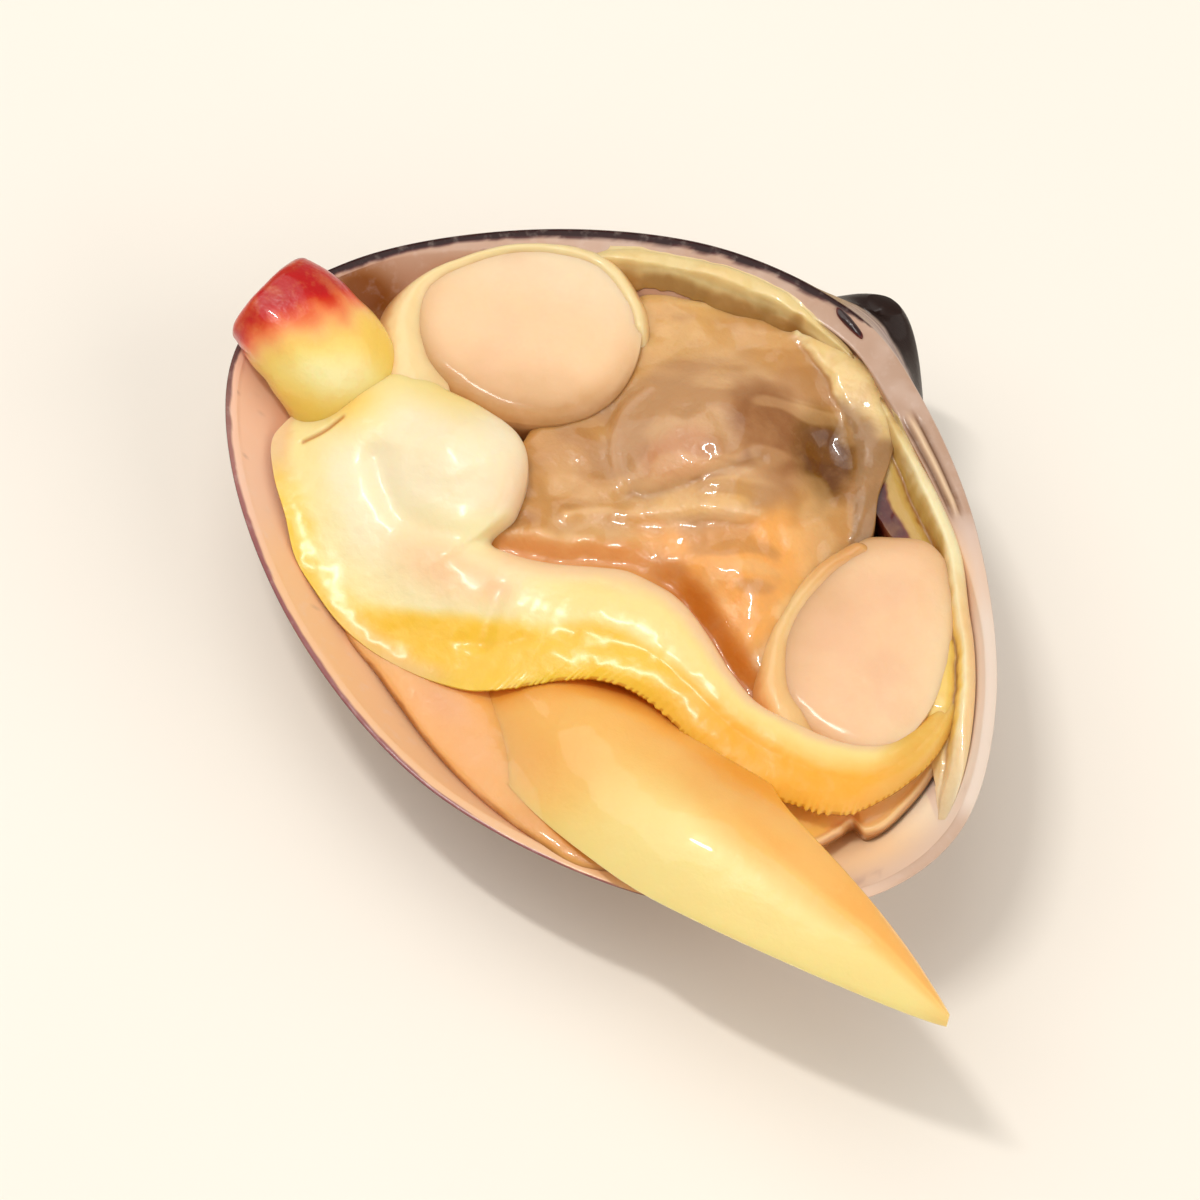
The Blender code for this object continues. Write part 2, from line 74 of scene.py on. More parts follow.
def smooth(low, high, x):
    # 3f^2 - 2f^3, f = (x - low) / (high - low) held between 0 and 1
    f = np.clip((x - low) / (high - low), 0, 1)
    return f * f * (3 - 2 * f)


def mix(a, b, f):
    return a + (b - a) * f


def reach(x, y, centre, radii, turn=0):
    # distance from the centre in radii, along axes turned by turn degrees
    c, s = math.cos(math.radians(turn)), math.sin(math.radians(turn))
    dx, dy = x - centre[0], y - centre[1]
    return np.hypot((dx * c + dy * s) / radii[0], (dy * c - dx * s) / radii[1])


def bell(distance, width):
    # exp(-(distance / width)^2)
    return np.exp(-(distance / width) ** 2)


def mound(x, y, centre, radii, turn=0):
    # exp(-1.5 d^2)
    return np.exp(-1.5 * reach(x, y, centre, radii, turn) ** 2)


def lineDistance(x, y, points):
    # least distance to the straight pieces of a line
    nearest = np.full(np.shape(x), 1e9)
    for (ax, ay), (bx, by) in zip(points[:-1], points[1:]):
        length = (bx - ax) ** 2 + (by - ay) ** 2
        f = np.clip(((x - ax) * (bx - ax) + (y - ay) * (by - ay)) / length, 0, 1)
        nearest = np.minimum(nearest, np.hypot(x - ax - f * (bx - ax), y - ay - f * (by - ay)))
    return nearest


def seam(x, y, points, width):
    # exp(-(d / width)^2) about a line
    return bell(lineDistance(x, y, openCurve(points, 6 * len(points))), width)


def layered(x, looks, base, *layers):
    # the base colour, then each (colour, cover) laid over it in turn, by their names in looks; sRGB numbers
    colour = np.array(looks[base], float) * np.ones((*np.shape(x), 1))
    for tint, cover in layers:
        colour += (np.array(looks[tint], float) - colour) * np.clip(cover, 0, 1)[..., None]
    return colour


lattice = 61                  # squares until the noise repeats


def grain(x, y, size, seed):
    # random values on a square lattice, blended by 3f^2 - 2f^3, from -1 to 1
    table = np.random.default_rng(seed).uniform(-1, 1, (lattice, lattice))
    x, y = np.broadcast_arrays(np.asarray(x, float) / size, np.asarray(y, float) / size)
    i, j = np.floor(x).astype(int), np.floor(y).astype(int)
    f, g = smooth(0, 1, x - i), smooth(0, 1, y - j)
    near, far = (mix(table[i % lattice, row], table[(i + 1) % lattice, row], f)
                 for row in (j % lattice, (j + 1) % lattice))
    return mix(near, far, g)


def cloud(x, y, size, seed):
    # grain + grain/2 + grain/4 at halving sizes
    finer = grain(x + 7, y, size / 2, seed + 1), grain(x, y + 7, size / 4, seed + 2)
    return (grain(x, y, size, seed) + finer[0] / 2 + finer[1] / 4) / 1.75


# The shell's form, the same as the frame's

shell = {
    "rim": [(40, -5), (35.5, 8), (25, 20.5), (13, 29), (3, 32.5), (-11, 30.5), (-25, 22.5),
            (-36, 11), (-39.5, -1), (-32, -12.5), (-17, -22.5), (1, -27.5), (21, -25), (35, -16.5)],
    "umbo": (5.4, 33.6, -0.2),
    "coil": 0.9,                  # turn for each e-fold of growth
    "lean": 0.25,
    "rimWidth": 1.1,
    "hingeWidth": 1.7,
    "hinge": (12, 30),
    "crest": (0.4, 0.15),         # its place across the rim and its height
    "hollowEnd": 0.25,            # the last growth line that is drawn inside, and outside
    "outsideEnd": 0.04,
    "tilt": 6,
    "tiltAxis": -20,
    "around": 540,
    "halvings": 22,               # of the search for a growth line
    "ridges": 26,
    "stops": (0.44, 0.6, 0.73, 0.83, 0.9, 0.955),     # where growth paused
    "lip": (0.04, 0.1, 0.18, 0.28, 0.38, 0.48, 0.58, 0.68, 0.78, 0.88, 0.96),
    "outsideRows": 104,
    "hollowRows": 58,
}


def insetLine(outline, distance):
    # each point moved square to the outline, inwards
    along = np.roll(outline, -1, 0) - np.roll(outline, 1, 0)
    along /= np.linalg.norm(along, axis=1)[:, None]
    return outline + np.stack([-along[:, 1], along[:, 0]], 1) * np.reshape(distance, (-1, 1))


rimLine = closedCurve(shell["rim"], shell["around"])
rimTurn = np.arange(shell["around"]) * len(shell["rim"]) / shell["around"]   # 0 to 14, in control points
rimWidth = shell["rimWidth"] + shell["hingeWidth"] * smooth(*shell["hinge"], rimLine[:, 1])
innerLine = insetLine(rimLine, rimWidth)
innerHub = (shell["umbo"][0], innerLine[:, 1].max() + 0.2, shell["umbo"][2])


def growthLines(outline, hub, shares):
    # hub + t Rx(-coil ln 1/t) (outline - hub), with y moved by lean z
    t = np.reshape(shares, (-1, 1))
    turn = shell["coil"] * np.log(1 / t)
    across, down = outline[None, :, 0] - hub[0], outline[None, :, 1] - hub[1]
    z = hub[2] * (1 - t) + t * down * np.sin(turn)
    y = hub[1] + t * down * np.cos(turn) + shell["lean"] * z
    return np.stack([hub[0] + t * across, y, z], -1)


ray = np.arctan2(innerHub[1] - innerLine[:, 1], innerLine[:, 0] - innerHub[0])
farSide = (np.arange(len(ray)) >= ray.argmax()) | (np.arange(len(ray)) <= ray.argmin())
hubOrder = np.flatnonzero(farSide)[np.argsort(ray[farSide])]
hubAngle = ray[hubOrder]
hubReach = np.hypot(*(innerLine - innerHub[:2])[hubOrder].T)


def hollowFloor(x, y):
    # the shell's inside under (x, y): t by halving until (x, y) lies on growth line t, then that line's z
    x, y = np.broadcast_arrays(np.asarray(x, float), np.asarray(y, float))
    low, high = np.full(x.shape, shell["hollowEnd"]), np.ones(x.shape)

    def onLine(t):
        turn = shell["coil"] * np.log(1 / t)
        stretch = np.cos(turn) + shell["lean"] * np.sin(turn)
        down = (innerHub[1] + shell["lean"] * innerHub[2] * (1 - t) - y) / (t * stretch)
        across = (x - innerHub[0]) / t
        beyond = np.hypot(across, down) / np.interp(np.arctan2(down, across), hubAngle, hubReach)
        return beyond, innerHub[2] * (1 - t) - t * down * np.sin(turn)

    outside = onLine(high)[0] > 1
    for _ in range(shell["halvings"]):
        middle = (low + high) / 2
        far = onLine(middle)[0] > 1
        low, high = np.where(far, middle, low), np.where(far, high, middle)
    return np.where(outside, 0, onLine(high)[1])


def restOn(depth):
    # an underside that lies depth under the shell's inside
    return lambda *where: hollowFloor(*where[-2:]) - depth


def keepIn(rings, height):
    # no point lower than height over the shell's inside
    rings[..., 2] = np.maximum(rings[..., 2], hollowFloor(rings[..., 0], rings[..., 1]) + height)


def placeMatrix():
    # the clam's tilt, and the move that brings its least x, its least y and its rim's top to the frame's
    axis = Vector((math.cos(math.radians(shell["tiltAxis"])), math.sin(math.radians(shell["tiltAxis"])), 0))
    turned = np.array(Matrix.Rotation(math.radians(shell["tilt"]), 3, axis))
    lines = growthLines(rimLine, shell["umbo"], np.linspace(0.05, 1, 60)).reshape(-1, 3) @ turned.T
    across, height = shell["crest"]
    crest = np.column_stack([insetLine(rimLine, across * rimWidth), np.full(len(rimLine), height)]) @ turned.T
    low, high = (np.array(corner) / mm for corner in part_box("valve"))
    spot = low[0] - lines[:, 0].min(), low[1] - lines[:, 1].min(), high[2] - crest[:, 2].max()
    return turned, np.array(spot)


turned, moved = placeMatrix()


def placePoints(points):
    # turned points + moved, in metres
    return (np.asarray(points, float) @ turned.T + moved) * mm


# Meshes from rings of points

glossShare = 0.025            # light that the wet surface adds to every colour, taken off the paint
darkest = 0.003               # the least that is left of it


def newObject(name, data):
    made = bpy.data.objects.new(name, data)
    bpy.context.scene.collection.objects.link(made)
    return made


def skin(name, node, rings, material, paint, floats=None):
    # point k of ring i joins its neighbours in a quad, and a fan closes each end; it takes its node's place
    rows, around = rings.shape[:2]
    points = np.vstack([rings.reshape(-1, 3), rings[0].mean(0), rings[-1].mean(0)])
    i, k = np.meshgrid(np.arange(rows - 1), np.arange(around), indexing="ij")
    here, beside = i * around + k, i * around + (k + 1) % around
    quads = np.stack([here, beside, beside + around, here + around], -1).reshape(-1, 4)
    k = np.arange(around)
    first, last = rows * around, rows * around + 1
    lastRing = (rows - 1) * around
    fans = np.vstack([
        np.stack([(k + 1) % around, k, np.full(around, first)], -1),
        np.stack([lastRing + k, lastRing + (k + 1) % around, np.full(around, last)], -1)])
    a, b, c, d = (points[quads[:, n]] for n in range(4))
    if np.einsum("ij,ij->i", a, np.cross(b, c) + np.cross(c, d)).sum() < 0:
        quads, fans = quads[:, ::-1], fans[:, ::-1]
    points = placePoints(points)
    points[:, 2] = np.maximum(points[:, 2], 0)    # the flat worn on the lowest point
    mesh = bpy.data.meshes.new(name)
    mesh.vertices.add(len(points))
    mesh.vertices.foreach_set("co", points.astype(np.float32).ravel())
    mesh.loops.add(quads.size + fans.size)
    mesh.loops.foreach_set("vertex_index", np.concatenate([quads.ravel(), fans.ravel()]).astype(np.int32))
    mesh.polygons.add(len(quads) + len(fans))
    starts = np.concatenate([np.arange(len(quads)) * 4, quads.size + np.arange(len(fans)) * 3])
    mesh.polygons.foreach_set("loop_start", starts.astype(np.int32))
    colours = np.vstack([paint.reshape(-1, 3), paint[0].mean(0), paint[-1].mean(0)])
    colours = np.column_stack([np.maximum(linear(colours) - glossShare, darkest), np.ones(len(colours))])
    painted = mesh.attributes.new("paint", "FLOAT_COLOR", "POINT")
    painted.data.foreach_set("color", colours.astype(np.float32).ravel())
    for key, values in (floats or {}).items():
        values = np.broadcast_to(values, (rows, around))
        full = np.concatenate([values.ravel(), [values[0].mean(), values[-1].mean()]])
        mesh.attributes.new(key, "FLOAT", "POINT").data.foreach_set("value", full.astype(np.float32))
    mesh.update(calc_edges=True)
    mesh.validate()
    mesh.shade_smooth()
    mesh.materials.append(material)
    piece = newObject(name, mesh)
    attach(piece, "root")
    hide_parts(node)
    print(name, len(mesh.polygons), "faces")


def relief(rings, amount):
    # each point moved by amount along the cross product of the grid's two directions, pointing outwards
    along = np.gradient(rings, axis=0)
    beside = np.roll(rings, -1, 1) - np.roll(rings, 1, 1)
    normal = np.cross(beside, along)
    normal /= np.maximum(np.linalg.norm(normal, axis=2), 1e-9)[..., None]
    middle = rings.reshape(-1, 3).mean(0)
    if np.einsum("ijk,ijk->ij", normal, rings - middle).sum() < 0:
        normal = -normal
    return rings + normal * np.asarray(amount)[..., None]


def cushionRings(outline, centre, shares, top, bed, thin=0.3, sideRows=8, backShares=(0.7, 0.4, 0.12)):
    # top side: centre + share (outline - centre) at height top; then down the side, at least by thin, and
    # back along the bed
    centre = np.array(centre, float)
    share = np.reshape(shares, (-1, 1))
    flat = centre + share[..., None] * (outline[None] - centre)
    upper = np.dstack([flat, top(flat[..., 0], flat[..., 1], share)])
    edge = upper[-1]
    below = np.minimum(bed(outline[:, 0], outline[:, 1]), edge[:, 2] - thin)
    drop = np.linspace(0, 1, sideRows + 1)[1:, None]
    sides = np.dstack([np.broadcast_to(outline, (sideRows, *outline.shape)), mix(edge[:, 2], below, drop)])
    back = centre + np.array(backShares)[:, None, None] * (outline[None] - centre)
    under = bed(back[..., 0], back[..., 1])
    shareAll = np.concatenate([share, np.ones((sideRows + len(backShares), 1))]) * np.ones((1, len(outline)))
    rings = np.concatenate([upper, sides, np.dstack([back, under])])
    return rings, rings[..., 0], rings[..., 1], shareAll


def bandRings(inner, outer, top, bed, mesh, thin=0.3, fringe=None, sink=0):
    # over = (1 - cos pi k) / 2 runs from the inner to the outer edge on top and back underneath, at least
    # thin below; fringe moves the outer edge by itself times over^12, and both ends dip by sink
    _, across, under = mesh
    along = np.linspace(0, 1, len(inner))[:, None]
    dip = sink * (1 - smooth(0, 0.06, along) * smooth(1, 0.94, along))

    def side(over, height):
        flat = inner[:, None] + over[..., None] * (outer - inner)[:, None]
        if fringe is not None:
            flat = flat + fringe[:, None] * (over ** 12)[..., None]
        return flat, height(along, over, flat[..., 0], flat[..., 1])

    over = 0.5 - 0.5 * np.cos(np.linspace(0, math.pi, across))[None]
    flat, upper = side(over, top)
    back = 0.5 + 0.5 * np.cos(np.linspace(0, math.pi, under))[None]
    flatBack, above = side(back, top)
    lower = np.minimum(side(back, bed)[1], above - dip - thin)
    rings = np.concatenate([np.dstack([flat, upper - dip]), np.dstack([flatBack, lower])], 1)
    overAll = np.concatenate([np.broadcast_to(over, upper.shape), np.broadcast_to(back, lower.shape)], 1)
    return rings, rings[..., 0], rings[..., 1], np.broadcast_to(along, overAll.shape), overAll


# Materials: a socket with operators

def linear(srgb):
    # sRGB numbers from 0 to 255 as linear light: ((c + 0.055) / 1.055)^2.4
    c = np.clip(np.asarray(srgb, float) / 255, 0, 1)
    return np.where(c <= 0.04045, c / 12.92, ((c + 0.055) / 1.055) ** 2.4)


class Socket:
    def __init__(self, tree, socket):
        self.tree, self.socket = tree, socket

    def node(self, kind, inputs, output=0, **settings):
        made = self.tree.nodes.new(kind)
        for key, value in settings.items():
            setattr(made, key, value)
        for key, value in inputs.items():
            if isinstance(value, Socket):
                self.tree.links.new(value.socket, made.inputs[key])
            else:
                made.inputs[key].default_value = value
        return Socket(self.tree, made.outputs[output])

    def math(self, operation, *others):
        return self.node("ShaderNodeMath", dict(enumerate([self, *others])), operation=operation)

    def __add__(self, other):
        return self.math("ADD", other)

    def __sub__(self, other):
        return self.math("SUBTRACT", other)

    def __rsub__(self, other):
        return (self * -1) + other

    def __mul__(self, other):
        return self.math("MULTIPLY", other)

    __radd__ = __add__
    __rmul__ = __mul__

    def step(self, low, high):
        # 0 below low and 1 above high, smooth between
        inputs = {"Value": self, "From Min": low, "From Max": high}
        return self.node("ShaderNodeMapRange", inputs, interpolation_type="SMOOTHSTEP")

    def tint(self, low, high):
        # the colour low where self is 0, high where it is 1
        inputs = {"Factor": self, 6: asColour(low), 7: asColour(high)}
        return self.node("ShaderNodeMix", inputs, output=2, data_type="RGBA")

    def noise(self, size, detail=3, roughness=0.55):
        # cloudy noise about 0.5, with lumps of size in millimetres; self is a position
        inputs = {"Vector": self, "Scale": 1000 / size, "Detail": detail, "Roughness": roughness}
        return self.node("ShaderNodeTexNoise", inputs)

    def read(self, key, output="Fac"):
        # one of the mesh's own masks or colours
        return self.node("ShaderNodeAttribute", {}, output=output, attribute_name=key)

    def bump(self, distance, strength=1):
        # self as a height, times distance in millimetres
        return self.node("ShaderNodeBump", {"Height": self, "Distance": distance * mm, "Strength": strength})


def asColour(value):
    return value if isinstance(value, Socket) else (*linear(value).tolist(), 1)


def newMaterial(name, finish):
    # a material, its position socket and a feeder of its shader's inputs
    material = bpy.data.materials.new(name)
    material.use_nodes = True
    tree = material.node_tree
    shader = tree.nodes["Principled BSDF"]
    for key, value in finish.items():
        shader.inputs[key].default_value = value
    position = Socket(tree, tree.nodes.new("ShaderNodeTexCoord").outputs["Object"])

    def feed(**links):
        for key, value in links.items():
            tree.links.new(value.socket, shader.inputs[key.replace("_", " ")])

    return material, position, feed


wetFinish = {
    "Roughness": 0.35, "Subsurface Weight": 0.35, "Subsurface Radius": (1, 0.6, 0.35),
    "Subsurface Scale": 0.0025, "Coat Weight": 0.9, "Coat Roughness": 0.04, "Coat IOR": 1.4, "IOR": 1.36,
}


def fleshMaterial(name, looks, finish):
    # the painted colour, mottled towards a second one, with fine grain and a wet coat
    material, position, feed = newMaterial(name, {**wetFinish, **finish})
    broad, fine = position.noise(looks.get("lump", 4), 3), position.noise(0.7, 4)
    cover = broad.step(0.45, 0.75) * looks.get("mottle", 0.25)
    colour = cover.tint(position.read("paint", "Color"), looks["second"])
    colour = (fine.step(0.5, 0.8) * looks.get("speckle", 0.1)).tint(colour, looks["second"])
    height = broad * looks.get("swell", 0.5) + position.noise(1.6, 3) * looks.get("ripple", 0.2) + fine * 0.05
    dull = fine * 0.14 + (0.26 + looks.get("dull", 0))
    feed(Base_Color=colour, Roughness=dull, Normal=height.bump(0.6, 0.6))
    return material


def makeFlesh(name, node, rings, paint, looks, finish=None):
    skin(name, node, rings, fleshMaterial(name + "Flesh", looks, finish or {}), paint)


# Shell

shellLooks = {
    "wall": (242, 194, 150), "mauve": (240, 196, 168), "upper": (200, 160, 136), "lilac": (226, 204, 192),
    "pale": (255, 240, 214), "cream": (252, 218, 174), "blotch": (158, 128, 122), "edge": (62, 32, 36),
    "edgeFaded": (150, 92, 92), "brown": (140, 84, 44), "pitShade": (120, 48, 14), "tooth": (240, 206, 168),
    "groove": (120, 84, 62), "hinge": (194, 160, 138), "outside": (206, 184, 168),
    "outsideLilac": (170, 146, 146), "outsideTan": (190, 158, 120), "outsideDark": (92, 66, 56),
    "umbo": (34, 14, 6),
}


def shellMaterial():
    looks = shellLooks
    material, position, feed = newMaterial("shellPearl", {
        "Roughness": 0.4, "Specular IOR Level": 0.2, "Coat Weight": 0.25, "Coat Roughness": 0.12,
        "Coat IOR": 1.4, "Subsurface Weight": 0.1, "Subsurface Radius": (1, 0.7, 0.6),
        "Subsurface Scale": 0.001})
    growth, inside, paint = position.read("growth"), position.read("inside"), position.read("paint", "Color")
    fine = position.noise(1, 5)
    # outside: fine lines and zones of growth over the paint, and a worn dark skin near the umbo
    rings = growth.node("ShaderNodeCombineXYZ", {"X": growth * 0.05, "Y": fine * 0.0004, "Z": 0})
    lines = rings.noise(0.25, 2)
    crust = rings.noise(2.6, 2).step(0.42, 0.6).tint(paint, looks["outsideLilac"])
    crust = position.noise(14, 4).step(0.5, 0.68).tint(crust, looks["outsideTan"])
    crust = (lines.step(0.5, 0.7) * 0.5).tint(crust, looks["outsideDark"])
    crust = (growth + (fine - 0.5) * 0.1).step(0.24, 0.42).tint(looks["umbo"], crust)
    colour = inside.tint(crust, paint)
    colour = (fine.step(0.5, 0.8) * inside * 0.18).tint(colour, looks["lilac"])
    height = (1 - inside) * (lines * 0.6 + fine * 0.5) + fine * 0.12
    feed(Base_Color=colour, Roughness=inside * -0.2 + 0.46, Normal=height.bump(0.12, 0.7))
    return material


def makeShell():
    # outside: growth lines up to t = 1 at the rim, with ridges; then the lip in short steps; then the hollow
    looks, umbo, turn = shellLooks, shell["umbo"], rimTurn[None]
    outShares = mix(shell["outsideEnd"], 1, np.linspace(0, 1, shell["outsideRows"]) ** 1.15)
    outer = growthLines(rimLine, umbo, outShares)
    t = outShares[:, None]
    ridge = 0.5 + 0.5 * np.cos(2 * math.pi * (shell["ridges"] * t + 1.2 * cloud(t * 9, 0, 1, 3)))
    stops = sum(bell(t - at, 0.012) for at in shell["stops"])
    wave = cloud(rimLine[None, :, 0], rimLine[None, :, 1] + 40 * t, 9, 5)
    rough = 0.05 * ridge * smooth(0.15, 0.5, t) - 0.16 * stops * (0.7 + 0.5 * wave) + 0.08 * wave
    outer = relief(outer, rough * smooth(1, 0.96, t) * smooth(0.3, 0.5, t))
    # the hinge plate: a cream ridge between two dark grooves on the far side of the umbo
    across = np.array(shell["lip"])[:, None]
    plate = smooth(2.1, 2.25, turn) * smooth(2.95, 2.75, turn)
    middle = 0.66 + 0.05 * cloud(rimTurn * 4, 0, 1, 10)
    tooth = bell(across - middle, 0.1) * plate
    grooves = (bell(across - middle + 0.19, 0.07) + bell(across - middle - 0.21, 0.08)) * plate
    width = rimWidth * (1 + 0.05 * cloud(rimTurn, 0, 0.4, 8))
    flat = rimLine[None] + across[..., None] * (insetLine(rimLine, width) - rimLine)[None]
    crest = 0.12 * np.sin(math.pi * across) ** 0.5 * smooth(1.2, 0.9, across)
    up = 0.02 + crest + 0.25 * tooth - 0.3 * grooves
    lip = np.dstack([flat, up + 0.04 * cloud(rimLine[None, :, 0], rimLine[None, :, 1], 1.3, 6)])
    inShares = 1 - (1 - shell["hollowEnd"]) * np.linspace(0, 1, shell["hollowRows"]) ** 1.2
    rings = np.concatenate([outer, lip, growthLines(innerLine, innerHub, inShares)])
    x, y = rings[..., 0], rings[..., 1]

    def rows(outside, onLip, within):
        # values for the rows of the outside, the rim and the hollow
        parts = zip((outside, onLip, within), (t, across, inShares))
        return np.concatenate([np.broadcast_to(part, (len(count), len(rimLine))) for part, count in parts])

    growth, inside, onLip = rows(t, 1, 1), rows(0, 1, 1), rows(0, 1, 0)
    depth, fromEdge = rows(0, 0, 1 - inShares[:, None]), rows(0, across, 1) * width
    nearRim = smooth(0.05, 0, depth)
    # the dark skin's edge: from the umbo round the siphon's end to the middle of the opening side
    shown = smooth(3.6, 4.3, turn) * smooth(12.6, 10.2, turn)
    thick = mix(0.9, 0.46, smooth(6.2, 8.4, turn)) * (1 + 0.35 * cloud(turn * 9, 2, 1, 9)) * shown
    darkLine = smooth(1.25, 0.75, fromEdge / np.maximum(thick, 1e-3)) * rows(0, 1, 0)
    far, spots = smooth(24, 31, x), cloud(x, y, 3.2, 17) + 0.5 * cloud(x, y, 1, 18)
    paint = layered(
        x, looks, "wall",
        ("mauve", smooth(-22, -30, x) * smooth(12, 4, y)),
        ("upper", smooth(12, 17, y - 0.2 * x)),
        ("brown", 1.4 * mound(x, y, (-33.5, 9.6), (3.6, 2.4), 30) * rows(0, 0, 1)),
        ("cream", smooth(20, 27, x) * smooth(10, 0, y)),
        ("pale", smooth(26, 31, x) * smooth(19, 13, y) * smooth(-9, -2, y)),
        ("lilac", 0.7 * np.maximum(smooth(3.6, 2.4, turn) * smooth(2.6, 0.6, fromEdge),
                                   far * smooth(0.1, 0, depth))),
        ("lilac", smooth(1.8, 2.4, turn) * smooth(7, 5.6, turn) * (0.4 + 0.5 * cloud(x, y, 2.4, 24))
         * nearRim),
        ("hinge", smooth(2, 2.2, turn) * smooth(6.4, 3, turn) * nearRim * (0.8 + 0.6 * cloud(x, y, 2, 19))),
        ("blotch", 0.5 * smooth(0.88, 0.97, grain(x, y, 0.6, 23)) * smooth(0.12, 0, depth)
         * smooth(0, -20, x)),
        ("hinge", 0.7 * smooth(32, 35, x) * smooth(-1, -4, y) * smooth(-16, -9, y) * rows(0, 1, 0)),
        ("blotch", 0.6 * smooth(0.25, 0.8, spots) * np.maximum(far * smooth(8, 4, y), plate) * nearRim),
        ("groove", rows(0, grooves, 0)), ("tooth", rows(0, tooth, 0)),
        # painted shade on the shell's floor in the deep gap by the body's right side
        ("pitShade", 1.6 * mound(x, y, (18.5, 19), (5, 3.6), -40) * smooth(0.01, 0.04, depth)),
        ("edgeFaded", darkLine * smooth(7.6, 9.6, turn)), ("edge", darkLine * smooth(9.2, 7.6, turn)))
    outside = layered(x, looks, "outside", ("edge", smooth(0.96, 0.995, growth) * shown))
    paint = np.where((inside + 0 * x)[..., None] > 0.5, paint, outside)
    skin("shell", "valve", rings, shellMaterial(), paint, {"growth": growth, "inside": inside})


# Muscles and the fringes round them

muscleMesh = 260, 70          # points round and rows on top
fringeMesh = 200, 40, 8       # points along, across the top and across the underside, as in every band
# Each muscle's paint holds painted light and shade: a lit-side colour, a shaded-side colour, and a darker rim
# for the shadow along its edge on the shaded side.
muscles = {
    "posterior": {
        "node": "posterior_adductor", "centre": (-19, 14.2), "top": 0.3, "crown": 0.5, "seed": 21,
        "shade": (0.3, -0.95),
        "outline": [
            (-23, 6.2), (-26.2, 7.6), (-28.4, 10.4), (-29, 13.6), (-26.8, 17.6), (-22.6, 21.8), (-17.6, 23.4),
            (-12.6, 21.6), (-9.9, 17.6), (-9.5, 12.8), (-12, 8.6), (-17, 6)],
        "colour": (253, 212, 168), "paintedLitSide": (255, 222, 184), "paintedShadedSide": (208, 160, 110), "rim": (196, 144, 92),
        "second": (244, 196, 158),
    },
    "anterior": {
        "node": "anterior_adductor", "centre": (23.4, 7), "top": -0.4, "crown": 0.7, "seed": 31,
        "shade": (-0.95, -0.25),
        "outline": [
            (18.8, 16.2), (21.8, 17.4), (25, 16), (27.8, 12.2), (29.8, 8.2), (30.8, 3.8), (30.2, -0.8),
            (26.8, -3), (22.8, -3.2), (19, -1.8), (16.1, 2), (15.1, 6.4), (15.4, 10.8), (16.7, 14.5)],
        "colour": (248, 204, 160), "paintedLitSide": (255, 220, 178), "paintedShadedSide": (220, 170, 124), "rim": (210, 156, 104),
        "second": (238, 186, 148),
    },
}
fringes = {
    "posterior": {
        "node": "posterior_collar", "rise": (0.5, 0.1), "drop": (2.2, 1.6), "seed": 23,
        "inner": [
            (-20, 5.6), (-24.4, 7.4), (-27, 9.8), (-28.2, 13), (-27, 16.2), (-23.8, 20), (-18.4, 22.4),
            (-13.8, 21.2), (-10.8, 18.8)],
        "outer": [
            (-26, -1), (-29.8, 5.6), (-31.2, 9.4), (-30.8, 12.4), (-29, 16.2), (-25, 21.2), (-18.4, 24.7),
            (-12.6, 22.9), (-9.4, 19.4)],
        "pale": (254, 220, 164), "deep": (226, 168, 108), "second": (250, 200, 144),
    },
    "anterior": {
        "node": "anterior_collar", "rise": (0.4, 0.5), "drop": (1.8, 1.4), "seed": 33,
        "inner": [
            (19.4, 14.8), (17.6, 10.8), (17, 7), (17.2, 4.2), (18.2, 1.6), (20, -0.6), (22.6, -2.2),
            (25, -4)],
        "outer": [
            (16.3, 15.2), (14.6, 11.2), (14.2, 7), (14.4, 4), (15.5, 0.2), (17.4, -3.3), (20.2, -5.4),
            (22.4, -7)],
        "pale": (248, 198, 136), "deep": (220, 152, 90), "second": (236, 174, 112),
    },
}


def makeMuscle(name):
    # crown (1 - share^2) with a rolled edge -share^14, deeper on the shaded side, and shallow dents
    spec = muscles[name]
    cx, cy = spec["centre"]
    sx, sy = spec["shade"]
    around, rows = muscleMesh

    def towardsShade(x, y):
        # -1 to 1 across the muscle
        return ((x - cx) * sx + (y - cy) * sy) / 9

    def top(x, y, share):
        dents = 0.25 * cloud(x, y, 7, spec["seed"]) + 0.03 * cloud(x, y, 1.4, spec["seed"] + 4)
        roll = mix(0.35, 0.9, smooth(-0.4, 0.5, towardsShade(x, y)))
        return spec["top"] + spec["crown"] * (1 - share ** 2) - roll * share ** 14 + dents * (1 - share ** 6)

    shares = np.sin(np.linspace(0.01, math.pi / 2, rows))
    outline = mix(np.array(spec["centre"]), closedCurve(spec["outline"], around), 1.03)
    rings, x, y, share = cushionRings(outline, spec["centre"], shares, top, restOn(0.2))
    side = towardsShade(x, y) + 0.12 * cloud(x, y, 4, 5)
    # painted light and shade: paler towards the lit side, darker towards the shaded side and round the edge,
    # and a painted shadow line along the edge on the shaded side
    paint = layered(
        x, spec, "colour", ("paintedLitSide", smooth(-0.1, -0.8, side)),
        ("second", 0.4 * smooth(0.1, 0.7, cloud(x, y, 5, spec["seed"] + 8))),
        ("paintedShadedSide", smooth(0.1, 1.1, side) + 0.6 * smooth(0.7, 1, share) * smooth(-0.7, 0.4, side)),
        ("rim", 0.8 * smooth(0.93, 1, share) * smooth(-0.3, 0.5, side)))
    looks = {"second": spec["second"], "lump": 5, "dull": 0.14}
    finish = {"Subsurface Weight": 0.4, "Coat Weight": 0.4, "Coat Roughness": 0.12}
    makeFlesh(name + "Muscle", spec["node"], rings, paint, looks, finish)


